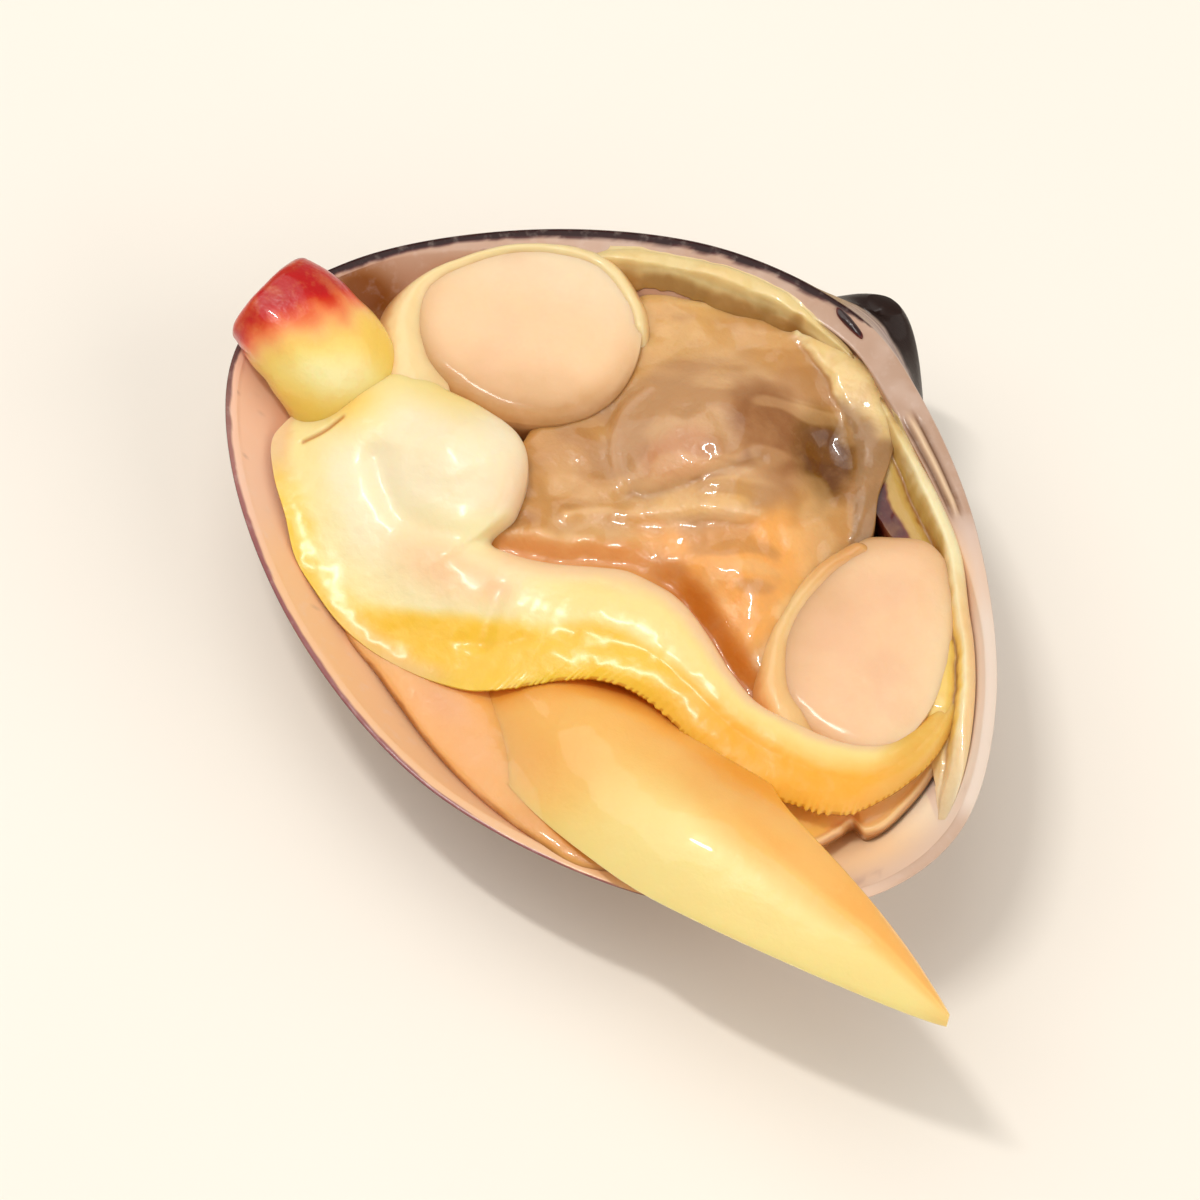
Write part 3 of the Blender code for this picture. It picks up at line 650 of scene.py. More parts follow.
def makeFringe(name):
    # a skirt round the muscle: from under its edge, over a low swell, then rounded off to the shell
    spec, count = fringes[name], fringeMesh[0]
    inner, outer = openCurve(spec["inner"], count), openCurve(spec["outer"], count)
    level = muscles[name]["top"] + 0.15

    def top(s, over, x, y):
        swell = mix(*spec["rise"], s) * np.sin(math.pi * over) ** 1.2 - 0.9 * (1 - over) ** 4
        return level + swell - mix(*spec["drop"], s) * over ** 5 + 0.15 * cloud(x, y, 2.5, spec["seed"])

    rings, x, y, along, over = bandRings(inner, outer, top, restOn(0.1), fringeMesh, sink=1.6)
    keepIn(rings, -0.25)
    fold = over + 0.15 * cloud(x, y, 1.6, spec["seed"] + 2)
    # deep is painted shade where the skirt rolls down to the shell and in the crease at the muscle's edge; on
    # the anterior skirt it also darkens the first third
    paint = layered(
        x, spec, "pale", ("deep", 0.8 * smooth(0.7, 1, fold)), ("deep", 0.3 * smooth(0.3, 0.1, fold)),
        ("deep", 0.7 * smooth(0.34, 0.06, along) * (name == "anterior")))
    makeFlesh(name + "Fringe", spec["node"], rings, paint, spec)


# Foot

# Each station of the foot: right edge x y z, left edge x y z, rise above, swell below.
# near and far are the colours of the lit and the shaded face, painted light and shade; shadow is painted
# shadow under the frill's edge
footSpec = {
    "stations": [
        (-4, -7, -5, -6.4, -14.6, -3.4, 0.8, 0.6), (0.8, -6.5, -4.6, -3.4, -17.4, -2.5, 1.8, 0.6),
        (5.5, -5.6, -4.4, -0.4, -20.4, -1.9, 3.2, 0.8), (11, -5, -3.9, 4.2, -22.7, -0.5, 4.2, 1),
        (16.6, -5.6, -3.4, 9.2, -24.3, 0.6, 4.6, 1.2), (21.6, -8.2, -1.6, 14.7, -25.3, 1.6, 4.6, 1.2),
        (26, -11.4, 1.9, 21, -26, 2.8, 3.9, 1.4), (30.2, -13.2, 3.6, 28, -25.6, 3.5, 2.6, 1.6),
        (35, -14.6, 3.9, 35, -24.6, 3.5, 1.9, 1.6), (39.5, -15.9, 3.5, 40.8, -23.4, 2.9, 1.6, 1.4),
        (43.7, -17.3, 2.8, 45.4, -22.2, 2.1, 1.2, 1.1), (47.3, -18.7, 1.9, 48.4, -21.2, 1.4, 0.9, 0.8),
        (49.4, -19.6, 1.2, 49.7, -20.6, 1, 0.5, 0.5)],
    "frillEdge": ((-0.4, 2.9, 6.3, 10.7, 16.2, 22.2), (-15.6, -12.6, -10.5, -9.8, -10.8, -11.5)),
    "mesh": (260, 70, 40), "keel": 0.4, "shadow": (240, 160, 72), "colour": (254, 206, 122),
    "root": (252, 190, 106), "near": (255, 230, 154), "far": (252, 186, 102), "tip": (252, 206, 128),
    "lining": (246, 180, 112), "second": (254, 214, 138), "lump": 8, "mottle": 0.2, "speckle": 0.06,
}


def makeFoot():
    # stations across the tongue: a round back near the root that sharpens to a keel towards the tip
    keel, table = footSpec["keel"], openCurve(footSpec["stations"], footSpec["mesh"][0])
    right, left = table[:, 0:2], table[:, 3:5]
    zRight, zLeft, above, below = (table[:, n:n + 1] for n in (2, 5, 6, 7))

    def top(s, over, x, y):
        side = np.where(over < keel, over / keel, (1 - over) / (1 - keel))
        sharp = smooth(0.42, 0.8, s)
        hump = np.sin(math.pi * over ** mix(1, 0.8, sharp)) ** mix(1.8, 0.85, smooth(0.14, 0.42, s))
        ridge = mix(hump, 0.4 * side ** 0.9 + 0.6 * np.sqrt(np.clip(1 - (1 - side) ** 2, 0, 1)), sharp)
        rough = 0.16 * cloud(x, y, 6, 71) + 0.22 * grain(x - 0.4 * y, 0, 5.5, 75)
        return mix(zRight, zLeft, over) + above * ridge + rough * smooth(0, 0.3, side)

    def bed(s, over, x, y):
        return mix(zRight, zLeft, over) - 0.05 - below * np.sqrt(np.clip(1 - (2 * over - 1) ** 2, 0, 1))

    rings, x, y, along, over = bandRings(right, left, top, bed, footSpec["mesh"], thin=0.05)
    wander = 0.05 * cloud(x, y, 7, 73)
    fromFrill = y - np.interp(x, *footSpec["frillEdge"])
    paint = layered(
        x, footSpec, "colour",
        ("root", smooth(-9, -3, fromFrill + 20 * wander)),
        # painted light and shade: the near face, turned to the light, paler; the far face deeper orange
        ("near", smooth(0.40, 0.62, over + wander) * smooth(0.30, 0.5, along + wander)),
        ("far", smooth(0.36, 0.27, over + wander) * smooth(0.42, 0.6, along)),
        ("tip", 0.8 * smooth(0.84, 0.98, along + wander)),
        ("root", smooth(0.4, 0.8, over + wander) * smooth(0.38, 0.26, along)),
        ("lining", smooth(0.7, 0.95, over + wander) * smooth(0.34, 0.2, along)),
        ("shadow", 0.9 * smooth(-3.4, 0.4, fromFrill + 6 * wander) * smooth(0.62, 0.45, along)))
    makeFlesh("footTongue", "foot", rings, paint, footSpec, {"Subsurface Weight": 0.4})


# Siphon

# The mesh is rings along, points round and rings of the mouth.
siphonSpec = {
    "path": [
        (-28.4, 0.8, -5), (-29.4, 1, -2.4), (-31, 1.4, 0.3), (-33.4, 1.8, 2), (-36.1, 2.2, 3),
        (-38.5, 2.5, 3.4)],
    "sizes": [(5.2, 3.2), (5.5, 3.8), (5.8, 4.2), (5.8, 4.3), (5.5, 4.1), (4.9, 3.7)],
    "mesh": (90, 150, 26), "mouth": 1.4, "lump": 2.5, "mottle": 0.2, "speckle": 0.12, "ripple": 0.35,
    "root": (255, 214, 104), "paintedHighlight": (255, 240, 174), "middle": (255, 200, 124), "coral": (240, 112, 76),
    "red": (194, 30, 20), "end": (186, 74, 62), "inside": (120, 28, 26), "second": (254, 190, 104),
}


def makeSiphon():
    # oval rings along the path, lightly pleated lengthwise, drawn in at the mouth
    looks, (count, around, folds) = siphonSpec, siphonSpec["mesh"]
    path, sizes = openCurve(looks["path"], count), openCurve(looks["sizes"], count)
    along = np.gradient(path, axis=0)
    along /= np.linalg.norm(along, axis=1)[:, None]
    side = np.cross(along, (0, 0, 1))
    side /= np.linalg.norm(side, axis=1)[:, None]
    up = np.cross(side, along)
    angle = np.linspace(0, 2 * math.pi, around, endpoint=False)
    s = np.linspace(0, 1, count)
    pleat = 0.014 * np.cos(8 * angle + 2) + 0.016 * np.cos(5 * angle + 1)
    pleats = 1 + pleat[None] * smooth(0.2, 0.8, s)[:, None]
    waist = (1 - 0.03 * bell(s - 0.62, 0.08))[:, None]
    across = sizes[:, :1, None] * np.cos(angle)[None, :, None] * side[:, None]
    upward = sizes[:, 1:, None] * np.sin(angle)[None, :, None] * up[:, None]
    barrel = path[:, None] + (pleats * waist)[..., None] * (across + upward)
    closing = np.linspace(0, 1, folds + 1)[1:]
    scale = 1 - 0.75 * closing ** 1.6
    ahead = 1 - (1 - closing) ** 3 - looks["mouth"] * closing ** 4
    mouth = path[-1] + scale[:, None, None] * (barrel[-1] - path[-1]) + ahead[:, None, None] * along[-1]
    rings = np.concatenate([barrel, mouth])
    x, y = rings[..., 0], rings[..., 1]
    keepIn(rings, 0.05)
    share = np.concatenate([s, 1 + 0.3 * closing])[:, None] + 0.05 * cloud(x, y, 3, 52)
    share = share + 0.012 * np.cos(11 * angle) + 0.026 * (y - 1.5)
    paint = layered(
        x, looks, "root",
        # painted highlight: a pale band part way along the tube, across its middle
        ("paintedHighlight", bell(share - 0.4, 0.16) * smooth(-4.5, -1.5, y) * smooth(5, 0, y)),
        ("middle", smooth(0.52, 0.68, share)), ("coral", smooth(0.62, 0.78, share)),
        ("red", smooth(0.72, 0.88, share)), ("end", 0.6 * smooth(0.99, 1.06, share)),
        ("inside", smooth(1.12, 1.25, share)))
    makeFlesh("siphonTube", "siphon", rings, paint, looks, {"Coat Weight": 0.6})


# Mantle: the thick frill, the thin lining and the strip along the rim

# Each station of the frill: inner edge, outer edge, height of the crown and of the lip. A hump is a
# height, centre, radii and turn; a furrow is a depth, line and width.
frillSpec = {
    "stations": [
        (-26.6, 4.4, -31.4, -3.4, 0.6, -0.8), (-24.6, 5.6, -31.8, -6.8, 1.2, -1),
        (-21.4, 5.4, -29.6, -9.8, 1.8, -0.7), (-17.4, 5.5, -26.4, -12.5, 2.3, -0.9),
        (-13.4, 4.9, -23.5, -15.1, 2.6, -1.3), (-10.8, 2.6, -20.2, -16.7, 2.5, -1.6),
        (-9.4, -1.3, -16.8, -17.9, 2.1, -1.9), (-10, -4.2, -13.6, -18.4, 1.4, -2.1),
        (-7.6, -4.4, -10.4, -18.4, 1.4, -2.1), (-4, -3.2, -6.8, -18, 1.6, -1.6),
        (-0.5, -1.4, -3.4, -17.2, 1.9, -0.8), (2.5, -0.2, -0.4, -15.4, 2.2, 0.2),
        (6.8, 0, 2.9, -12.6, 2.5, 1), (11, -1.3, 6.3, -10.5, 2.6, 1.5), (15, -3.2, 10.7, -9.8, 2.5, 1.6),
        (18.8, -4.2, 16.2, -10.8, 2, 1.3), (22.6, -3.6, 21.4, -11.3, 1.5, 0.8),
        (26.2, -2.8, 26.6, -10.2, 1, 0.2), (28.6, -1.6, 30.3, -8.5, 0.6, -0.3),
        (29.8, -0.4, 32.3, -5.2, 0.2, -0.7), (30.4, 1.4, 33.6, -1.2, -0.2, -0.9),
        (30.7, 3.6, 33.7, 2.6, -0.7, -1.2), (30.6, 6, 32.9, 6.4, -0.8, -1.3),
        (29.8, 8.8, 31.4, 10.2, -1.3, -1.8)],
    "humps": [
        (1.5, (-15.8, 0.6), (7, 5.6), 30), (0.7, (-26, -1.5), (4, 4)), (0.5, (-22, -8), (6, 4), -50),
        (0.3, (4, -5), (5, 2.6), 15)],
    "furrows": [
        (0.5, [(-22.4, -4.2), (-18, -7.2), (-12.4, -6.9), (-9.9, -4.6)], 1.2),
        (0.4, [(-6, -8.6), (-5.5, -11.4), (-4.8, -13)], 1),
        (0.15, [(-6.5, -13.8), (-3.3, -12.4), (-1.7, -10.9)], 0.6)],
    "mesh": (760, 84, 26), "slit": [(-27.2, -2.6), (-28, -4.4), (-29.1, -5.9)], "toothLength": 0.62,
    "thick": 3.2, "lump": 5, "mottle": 0.12, "speckle": 0.06, "swell": 0.7, "lobe": (255, 236, 200),
    "lobeFar": (252, 220, 182), "white": (255, 241, 204), "pink": (253, 212, 166), "crest": (254, 226, 152),
    "pale": (254, 240, 190), "band": (254, 202, 72), "orange": (254, 182, 74), "peach": (246, 188, 124),
    "left": (254, 204, 104), "tan": (244, 202, 150), "slitShade": (186, 112, 50), "notch": (196, 116, 40),
    "mustard": (236, 184, 92), "second": (254, 220, 140),
}


def makeFrill():
    # a rounded ridge, a step down to a lower band, and an outer edge that hangs free in small uneven teeth
    looks, count = frillSpec, frillSpec["mesh"][0]
    table = openCurve(looks["stations"], count)
    inner, outer = table[:, :2], table[:, 2:4]
    crown, lip = table[:, 4:5], table[:, 5:6]
    width = np.linalg.norm(outer - inner, axis=1)[:, None]
    s = np.linspace(0, 1, count)
    length = np.cumsum(np.linalg.norm(np.gradient(outer, axis=0), axis=1))
    beat = length / looks["toothLength"] + 0.8 * cloud(length, 0, 2.2, 12)
    tall = np.random.default_rng(4).uniform(0, 1, int(beat.max()) + 3)
    tooth = (0.5 - 0.5 * np.cos(2 * math.pi * beat)) * tall[np.floor(beat).astype(int)]
    size = (0.16 * smooth(0.44, 0.48, s) + 0.2 * smooth(0.58, 0.66, s)) * smooth(0.84, 0.76, s)
    fringe = (outer - inner) / width * (size * tooth + 0.5 * size * cloud(length, 4, 3, 19))[:, None]
    hangs = smooth(0.4, 0.5, s)[:, None]
    flatter = smooth(0.82, 0.7, s)[:, None]

    def top(along, over, x, y):
        roll = mix(6.5, 2.6, smooth(0.14, 0.24, along))
        back = np.sqrt(np.clip(1 - np.clip(1 - over * width / roll, 0, 1) ** 2, 0, 1))
        z = crown - mix(1.2, 2.2, flatter) * (1 - back) + (lip - crown) * smooth(0.25, 1, over)
        z -= 0.12 * smooth(0.42, 0.6, over) * (1 - over) * 2 * hangs * flatter
        swell = 0.2 * np.sin(math.pi * np.clip((over - 0.55) / 0.45, 0, 1)) * hangs
        z += swell - (0.15 + 0.3 * hangs) * over ** 10
        z += sum(height * mound(x, y, *place) for height, *place in looks["humps"])
        z -= sum(depth * seam(x, y, *line) for depth, *line in looks["furrows"])
        z -= 0.25 * seam(x, y, looks["slit"], 0.25)
        return z + 0.22 * cloud(x, y, 7, 14) + 0.07 * grain(x, y, 2.2, 15) + 0.025 * grain(x, y, 0.9, 18)

    def bed(along, over, x, y):
        floor = hollowFloor(x, y) - 0.1
        hung = np.maximum(floor, lip - looks["thick"] * smooth(1, 0.7, over) - 0.5)
        return mix(np.minimum(floor, lip - looks["thick"]), hung, smooth(0.2, 0.65, over))

    rings, x, y, along, over = bandRings(inner, outer, top, bed, looks["mesh"], fringe=fringe)
    o = over + 0.05 * cloud(x, y, 4, 16) + 0.015 * cloud(x, y, 1, 20)
    lobe = reach(x, y, (-16.2, 0.4), (9, 6.6), 25) + 0.1 * cloud(x, y, 3, 22)
    rightBend = smooth(0.56, 0.68, along)
    bandStart = mix(0.87, 0.44, smooth(0.2, 0.42, along))
    paint = layered(
        x, looks, "crest",
        ("pale", smooth(0.46, 0.36, along)),
        ("pink", smooth(0.24, 0.06, o) * smooth(0.3, 0.36, along)),
        ("crest", 0.8 * smooth(0.6, 0.86, o) * smooth(0.4, 0.3, along)),
        ("white", mound(x, y, (-19.6, -9.2), (5.4, 4), -50) + 0.8 * mound(x, y, (-24.5, -6), (4, 2.6), -60)),
        ("pink", mound(x, y, (-12.4, -9.6), (6, 3.2), 0) + 0.8 * mound(x, y, (-7.4, -8.6), (4, 2), 10)),
        ("band", smooth(bandStart, bandStart + 0.14, o)),
        ("orange", rightBend * smooth(0.2, 0.65, o)),
        ("lobe", smooth(1.2, 0.7, lobe)),
        ("lobeFar", smooth(1.1, 0.8, lobe) * smooth(-14, -9.5, x)),
        ("crest", smooth(0, 5, y) * smooth(-15, -20, x)),
        ("left", 0.8 * mound(x, y, (-27.5, -1), (3.4, 3.6))),
        ("tan", smooth(0.84, 0.95, o) * smooth(0.12, 0.06, along)),
        # painted shade in the slit beside the siphon
        ("slitShade", 0.7 * seam(x, y, looks["slit"], 0.16)),
        ("peach", 0.85 * smooth(0.84, 0.99, o) * smooth(0.44, 0.36, along) * smooth(0.16, 0.38, along)),
        ("mustard", smooth(0.78, 0.88, along)),
        # the lip's own darker edge between the teeth, with painted shade under it
        ("notch", 0.6 * smooth(0.965, 0.99, over) * smooth(0.46, 0.5, along)
         * (1 - smooth(0.05, 0.3, tooth[:, None]))))
    makeFlesh("frill", "mantle_edge", rings, paint, looks, {"Coat Weight": 0.4, "Coat Roughness": 0.16})


# Each station of the lining: inner edge and its height, outer edge and its height over the shell.
liningSpec = {
    "stations": [
        (-20, -13, -2.9, -20.6, -14.6, 0.1), (-17, -14.2, -2.9, -18.2, -15.8, 0.3),
        (-13.5, -15, -2.9, -15.6, -18.3, 0.5), (-9.5, -15.4, -2.8, -11.7, -19.6, 0.8),
        (-5.5, -15.2, -2.6, -8, -21.1, 1), (-1.6, -15.4, -2.4, -3.8, -22.8, 1), (2, -17, -1.8, 0.4, -24.2, 1),
        (6, -19, -1.2, 5.2, -25.4, 0.9), (10.5, -20.6, -0.8, 10.2, -26.1, 0.6),
        (15, -20.4, -0.8, 15.6, -25.8, 0.4), (20, -17, -2, 20.6, -21.5, 1),
        (24.6, -9, -2.4, 27.4, -14.2, 2.2), (26.6, -7.6, -2.2, 29.8, -11.6, 2.4),
        (27.8, -6.6, -2, 30.7, -9.2, 2.3), (28.6, -5.6, -1.9, 31.1, -7.6, 1.9),
        (29.4, -4.8, -1.9, 32.6, -7.9, 1.3), (30.2, -3.6, -1.9, 33.6, -6.4, 1.1),
        (31.2, -1.6, -1.9, 34.1, -3.2, 1), (32, 0.6, -1.9, 34.2, -0.4, 0.9), (32.2, 3, -2, 33.9, 2.8, 0.8),
        (31.6, 5.6, -2.2, 33, 6.2, 0.7)],
    "mesh": (460, 80, 12), "lump": 4, "mottle": 0.3, "colour": (246, 180, 112), "warm": (248, 176, 92),
    "mauve": (236, 172, 122), "creaseShade": (150, 88, 46), "orange": (236, 164, 92), "pocketBounceLight": (255, 202, 108),
    "right": (246, 190, 118), "rightEdge": (252, 206, 148), "second": (240, 182, 134),
}


def makeLining():
    # skin stretched from the frill to the shell, with a rounded edge on the siphon's side and, at the other
    # end, a hanging flap with a pale edge
    looks = liningSpec
    table = openCurve(looks["stations"], looks["mesh"][0])
    inner, outer = table[:, :2], table[:, 3:5]
    zInner, lift = table[:, 2:3], table[:, 5:6]
    width = np.linalg.norm(outer - inner, axis=1)[:, None]
    zOuter = hollowFloor(outer[:, 0], outer[:, 1])[:, None] + lift

    def top(s, over, x, y):
        inwards = (1 - over) * width
        free = smooth(0.46, 0.5, s)
        attached = mix(zInner, zOuter, over) + 0.5 * np.sin(math.pi * over) - 0.35 * over ** 14
        attached += 0.3 * mound(x, y, (-2.6, -17.4), (5, 3), -40)
        flap = mix(zInner, zOuter, over) + 0.25 * bell(inwards - 0.5, 0.35) - 0.4 * np.sin(math.pi * over)
        return mix(attached, flap, free) + 0.12 * cloud(x, y, 3.5, 45) * (1 - over ** 8)

    def bed(s, over, x, y):
        floor = hollowFloor(x, y) - 0.1
        hung = np.maximum(floor, mix(zInner, zOuter, over) - 0.9)
        return mix(floor, hung, smooth(0.46, 0.5, s) * smooth(0.6, 0.9, over))

    rings, x, y, along, over = bandRings(inner, outer, top, bed, looks["mesh"], sink=1)
    keepIn(rings, -0.25)
    inwards = (1 - over) * width + 0.1 * cloud(x, y, 1.5, 46)
    free = smooth(0.46, 0.5, along)
    paint = layered(
        x, looks, "colour",
        ("warm", 0.9 * smooth(0.5, 0.1, over)),
        ("mauve", 0.8 * mound(x, y, (-5, -19), (3.6, 2), -20)),
        ("orange", 0.9 * smooth(5, 9, x)),
        ("right", free), ("rightEdge", free * smooth(1.3, 0.5, inwards)),
        # painted bounce light: a saturated orange in the shaded pocket under the frill, lighter than its
        # shade
        ("pocketBounceLight", free * smooth(0.66, 0.6, along) * smooth(0.6, 1.2, inwards)),
        # painted shade: a dark line in the crease along the lining's edge on the siphon's side
        ("creaseShade", smooth(0.05, 0.14, along) * (0.8 - 0.3 * smooth(0.2, 0.4, along))
         * smooth(0.35, 0, inwards)))
    makeFlesh("liningFold", "mantle_lining", rings, paint, looks)


# Each station of the strip: place along the rim, width, height of the band and of the border at the
# shell, the border's share of the width.
stripSpec = {
    "stations": [
        (5.9, 2, -0.9, -0.6, 0.3), (5.4, 1.9, -0.5, 0.2, 0.5), (5, 2.1, -0.4, 0.35, 0.5),
        (4.6, 2.1, -0.4, 0.35, 0.5), (4.25, 1.7, -0.7, 0.2, 0.5), (3.9, 1.4, -1.1, -0.7, 0.38),
        (3.4, 1, -1.5, -1.2, 0.4), (3, 2, -1.5, -0.9, 0.34), (2.78, 4.4, -1.6, -0.4, 0.24),
        (2.55, 5.2, -1.8, -0.2, 0.24), (2.3, 5.2, -1.8, 0.1, 0.26), (1.9, 4.6, -1.6, 0.15, 0.3),
        (1.5, 3.8, -0.7, 0.1, 0.32), (1.2, 4.2, -0.7, 0.05, 0.28), (0.9, 4.2, -0.8, 0, 0.3),
        (0.66, 3.6, -1.2, -0.05, 0.4), (0.46, 2.5, -1.8, -0.15, 0.6), (0.28, 1.5, -1.5, -0.3, 0.8),
        (0.14, 0.8, -1.2, -0.4, 0.9), (0.04, 0.3, -0.8, -0.5, 0.9)],
    "mesh": (520, 44, 8), "lump": 3, "mottle": 0.2, "speckle": 0.12, "upper": (250, 212, 150),
    "upperBrownAndShade": (158, 110, 58), "pale": (254, 232, 184), "wall": (246, 204, 150), "olive": (206, 168, 92),
    "mustard": (255, 210, 112), "line": (160, 104, 48), "slotShade": (96, 22, 2), "cream": shellLooks["cream"],
    "second": (214, 166, 96),
}


def makeStrip():
    # along the rim's inner edge: a low band, then a smooth raised border on the shell's side
    looks = stripSpec
    table = openCurve(looks["stations"], looks["mesh"][0])
    share, width, low, high, border = (table[:, n:n + 1] for n in range(5))
    outline = np.column_stack([
        np.interp(share[:, 0], rimTurn, part, period=len(shell["rim"])) for part in innerLine.T])
    along = np.gradient(outline, axis=0)
    along /= np.linalg.norm(along, axis=1)[:, None]
    inward = np.stack([along[:, 1], -along[:, 0]], 1)
    wander = 1 + (0.1 + 0.2 * smooth(3.5, 4.5, share)) * cloud(share * 10, 0, 1.5, 61)
    gap = smooth(2, 1.5, share)
    lap = smooth(4, 4.5, share) * smooth(6, 5.4, share)     # how far it lies over the rim
    inner = outline + inward * (width + 0.8 * gap) * wander
    outer = outline + inward * (0.85 * gap - 0.05 - 1.1 * lap * wander)
    right = smooth(3, 2.5, share)

    def top(s, over, x, y):
        start = 1 - border
        raised = smooth(start - 0.12, start + 0.06, over)
        round_ = np.sin(math.pi * np.clip((over - start + 0.1) / (border + 0.1), 0, 1))
        z = mix(low, high, raised) + mix(0.05, 0.35, right) * round_
        z = z + 0.3 * (1 - right) * np.sin(math.pi * over)
        z -= mix(0.03, 0.25, right) * bell(over - start + 0.14, 0.08)
        rolls = (0.5 * cloud(x, y, 4, 69) * (1 - over ** 4) - 1.3 * (1 - over) ** 3) * (1 - right)
        z += rolls + 0.1 * cloud(x, y, 2, 65) * (1 - over ** 6) - 0.3 * over ** 20
        z = mix(hollowFloor(x, y) + 0.06, z, smooth(0, 1.1, share))
        return mix(np.maximum(z, hollowFloor(x, y) + 0.25), z, right)

    rings, x, y, _, over = bandRings(inner, outer, top, restOn(0.1), looks["mesh"], sink=0.4)
    o = over + border - 1 + 0.06 * cloud(x, y, 1.5, 67)      # 0 where the border starts
    lower = smooth(1.9, 1.5, share)
    paint = layered(
        x, looks, "upper",
        # darker towards the inner edge where the strip slopes down to the body, painted shade; then brown
        # patches of its own
        ("upperBrownAndShade", 0.8 * (1 - right) * smooth(0.5, 0.2, over + 0.12 * cloud(x, y, 2, 68))),
        ("upperBrownAndShade", 0.75 * (1 - right) * smooth(0, 0.4, cloud(x, y, 3.4, 70)) * smooth(4.9, 4.5, share)),
        ("olive", right), ("mustard", right * lower),
        # painted shade: a dark red-brown recess standing in for the deep gap beside the body
        ("slotShade", smooth(0.32, 0.24, over + 0.06 * cloud(x, y, 1.5, 71)) * smooth(2.1, 2.2, share)
         * smooth(2.62, 2.54, share)),
        ("pale", right * smooth(-0.06, 0.04, o)), ("wall", right * lower * smooth(0, 0.2, o)),
        # painted shadow: a dark line under the raised border's edge
        ("line", right * bell(o + 0.13, 0.04) * smooth(0.1, 0.5, share)),
        ("cream", smooth(0.9, 0.4, share)))
    makeFlesh("rimStrip", "mantle_strip", rings, paint, looks)


# Visceral mass

# The mesh is points round and rows on top; domeAt and wrinkledAt are a centre, radii and a turn.
bodySpec = {
    "outline": [
        (-10.5, -4.5), (-3, -5.5), (5, -3), (12, -5), (18, -5.5), (19.5, 2), (17.4, 12), (17, 15.8),
        (15.3, 19.2), (14.2, 22.6), (12.8, 25.6), (9.4, 28.2), (5.6, 29.9), (0.5, 29.6), (-5, 28), (-10, 26),
        (-13.5, 23.8), (-15, 18), (-14, 10), (-13, 2)],
    "middle": (2, 11), "mesh": (420, 150), "domeAt": ((0.4, 15), (9, 9.8), -20),
    "wrinkledAt": ((-0.2, 14.4), (3.4, 2.4), -30), "colour": (206, 152, 92), "upper": (224, 176, 112),
    "dome": (218, 172, 124), "rosy": (208, 148, 104), "dark": (160, 108, 68), "olive": (118, 76, 32),
    "yellow": (230, 178, 106), "low": (248, 178, 100), "creaseShade": (202, 124, 58), "creaseShadeLeft": (224, 156, 92),
    "cream": (246, 212, 150), "creamLow": (172, 132, 92), "streak": (246, 204, 150), "shade": (150, 106, 62),
    "second": (198, 146, 96), "lump": 3.5, "mottle": 0.35, "speckle": 0.15, "swell": 0.9, "ripple": 0.35,
}


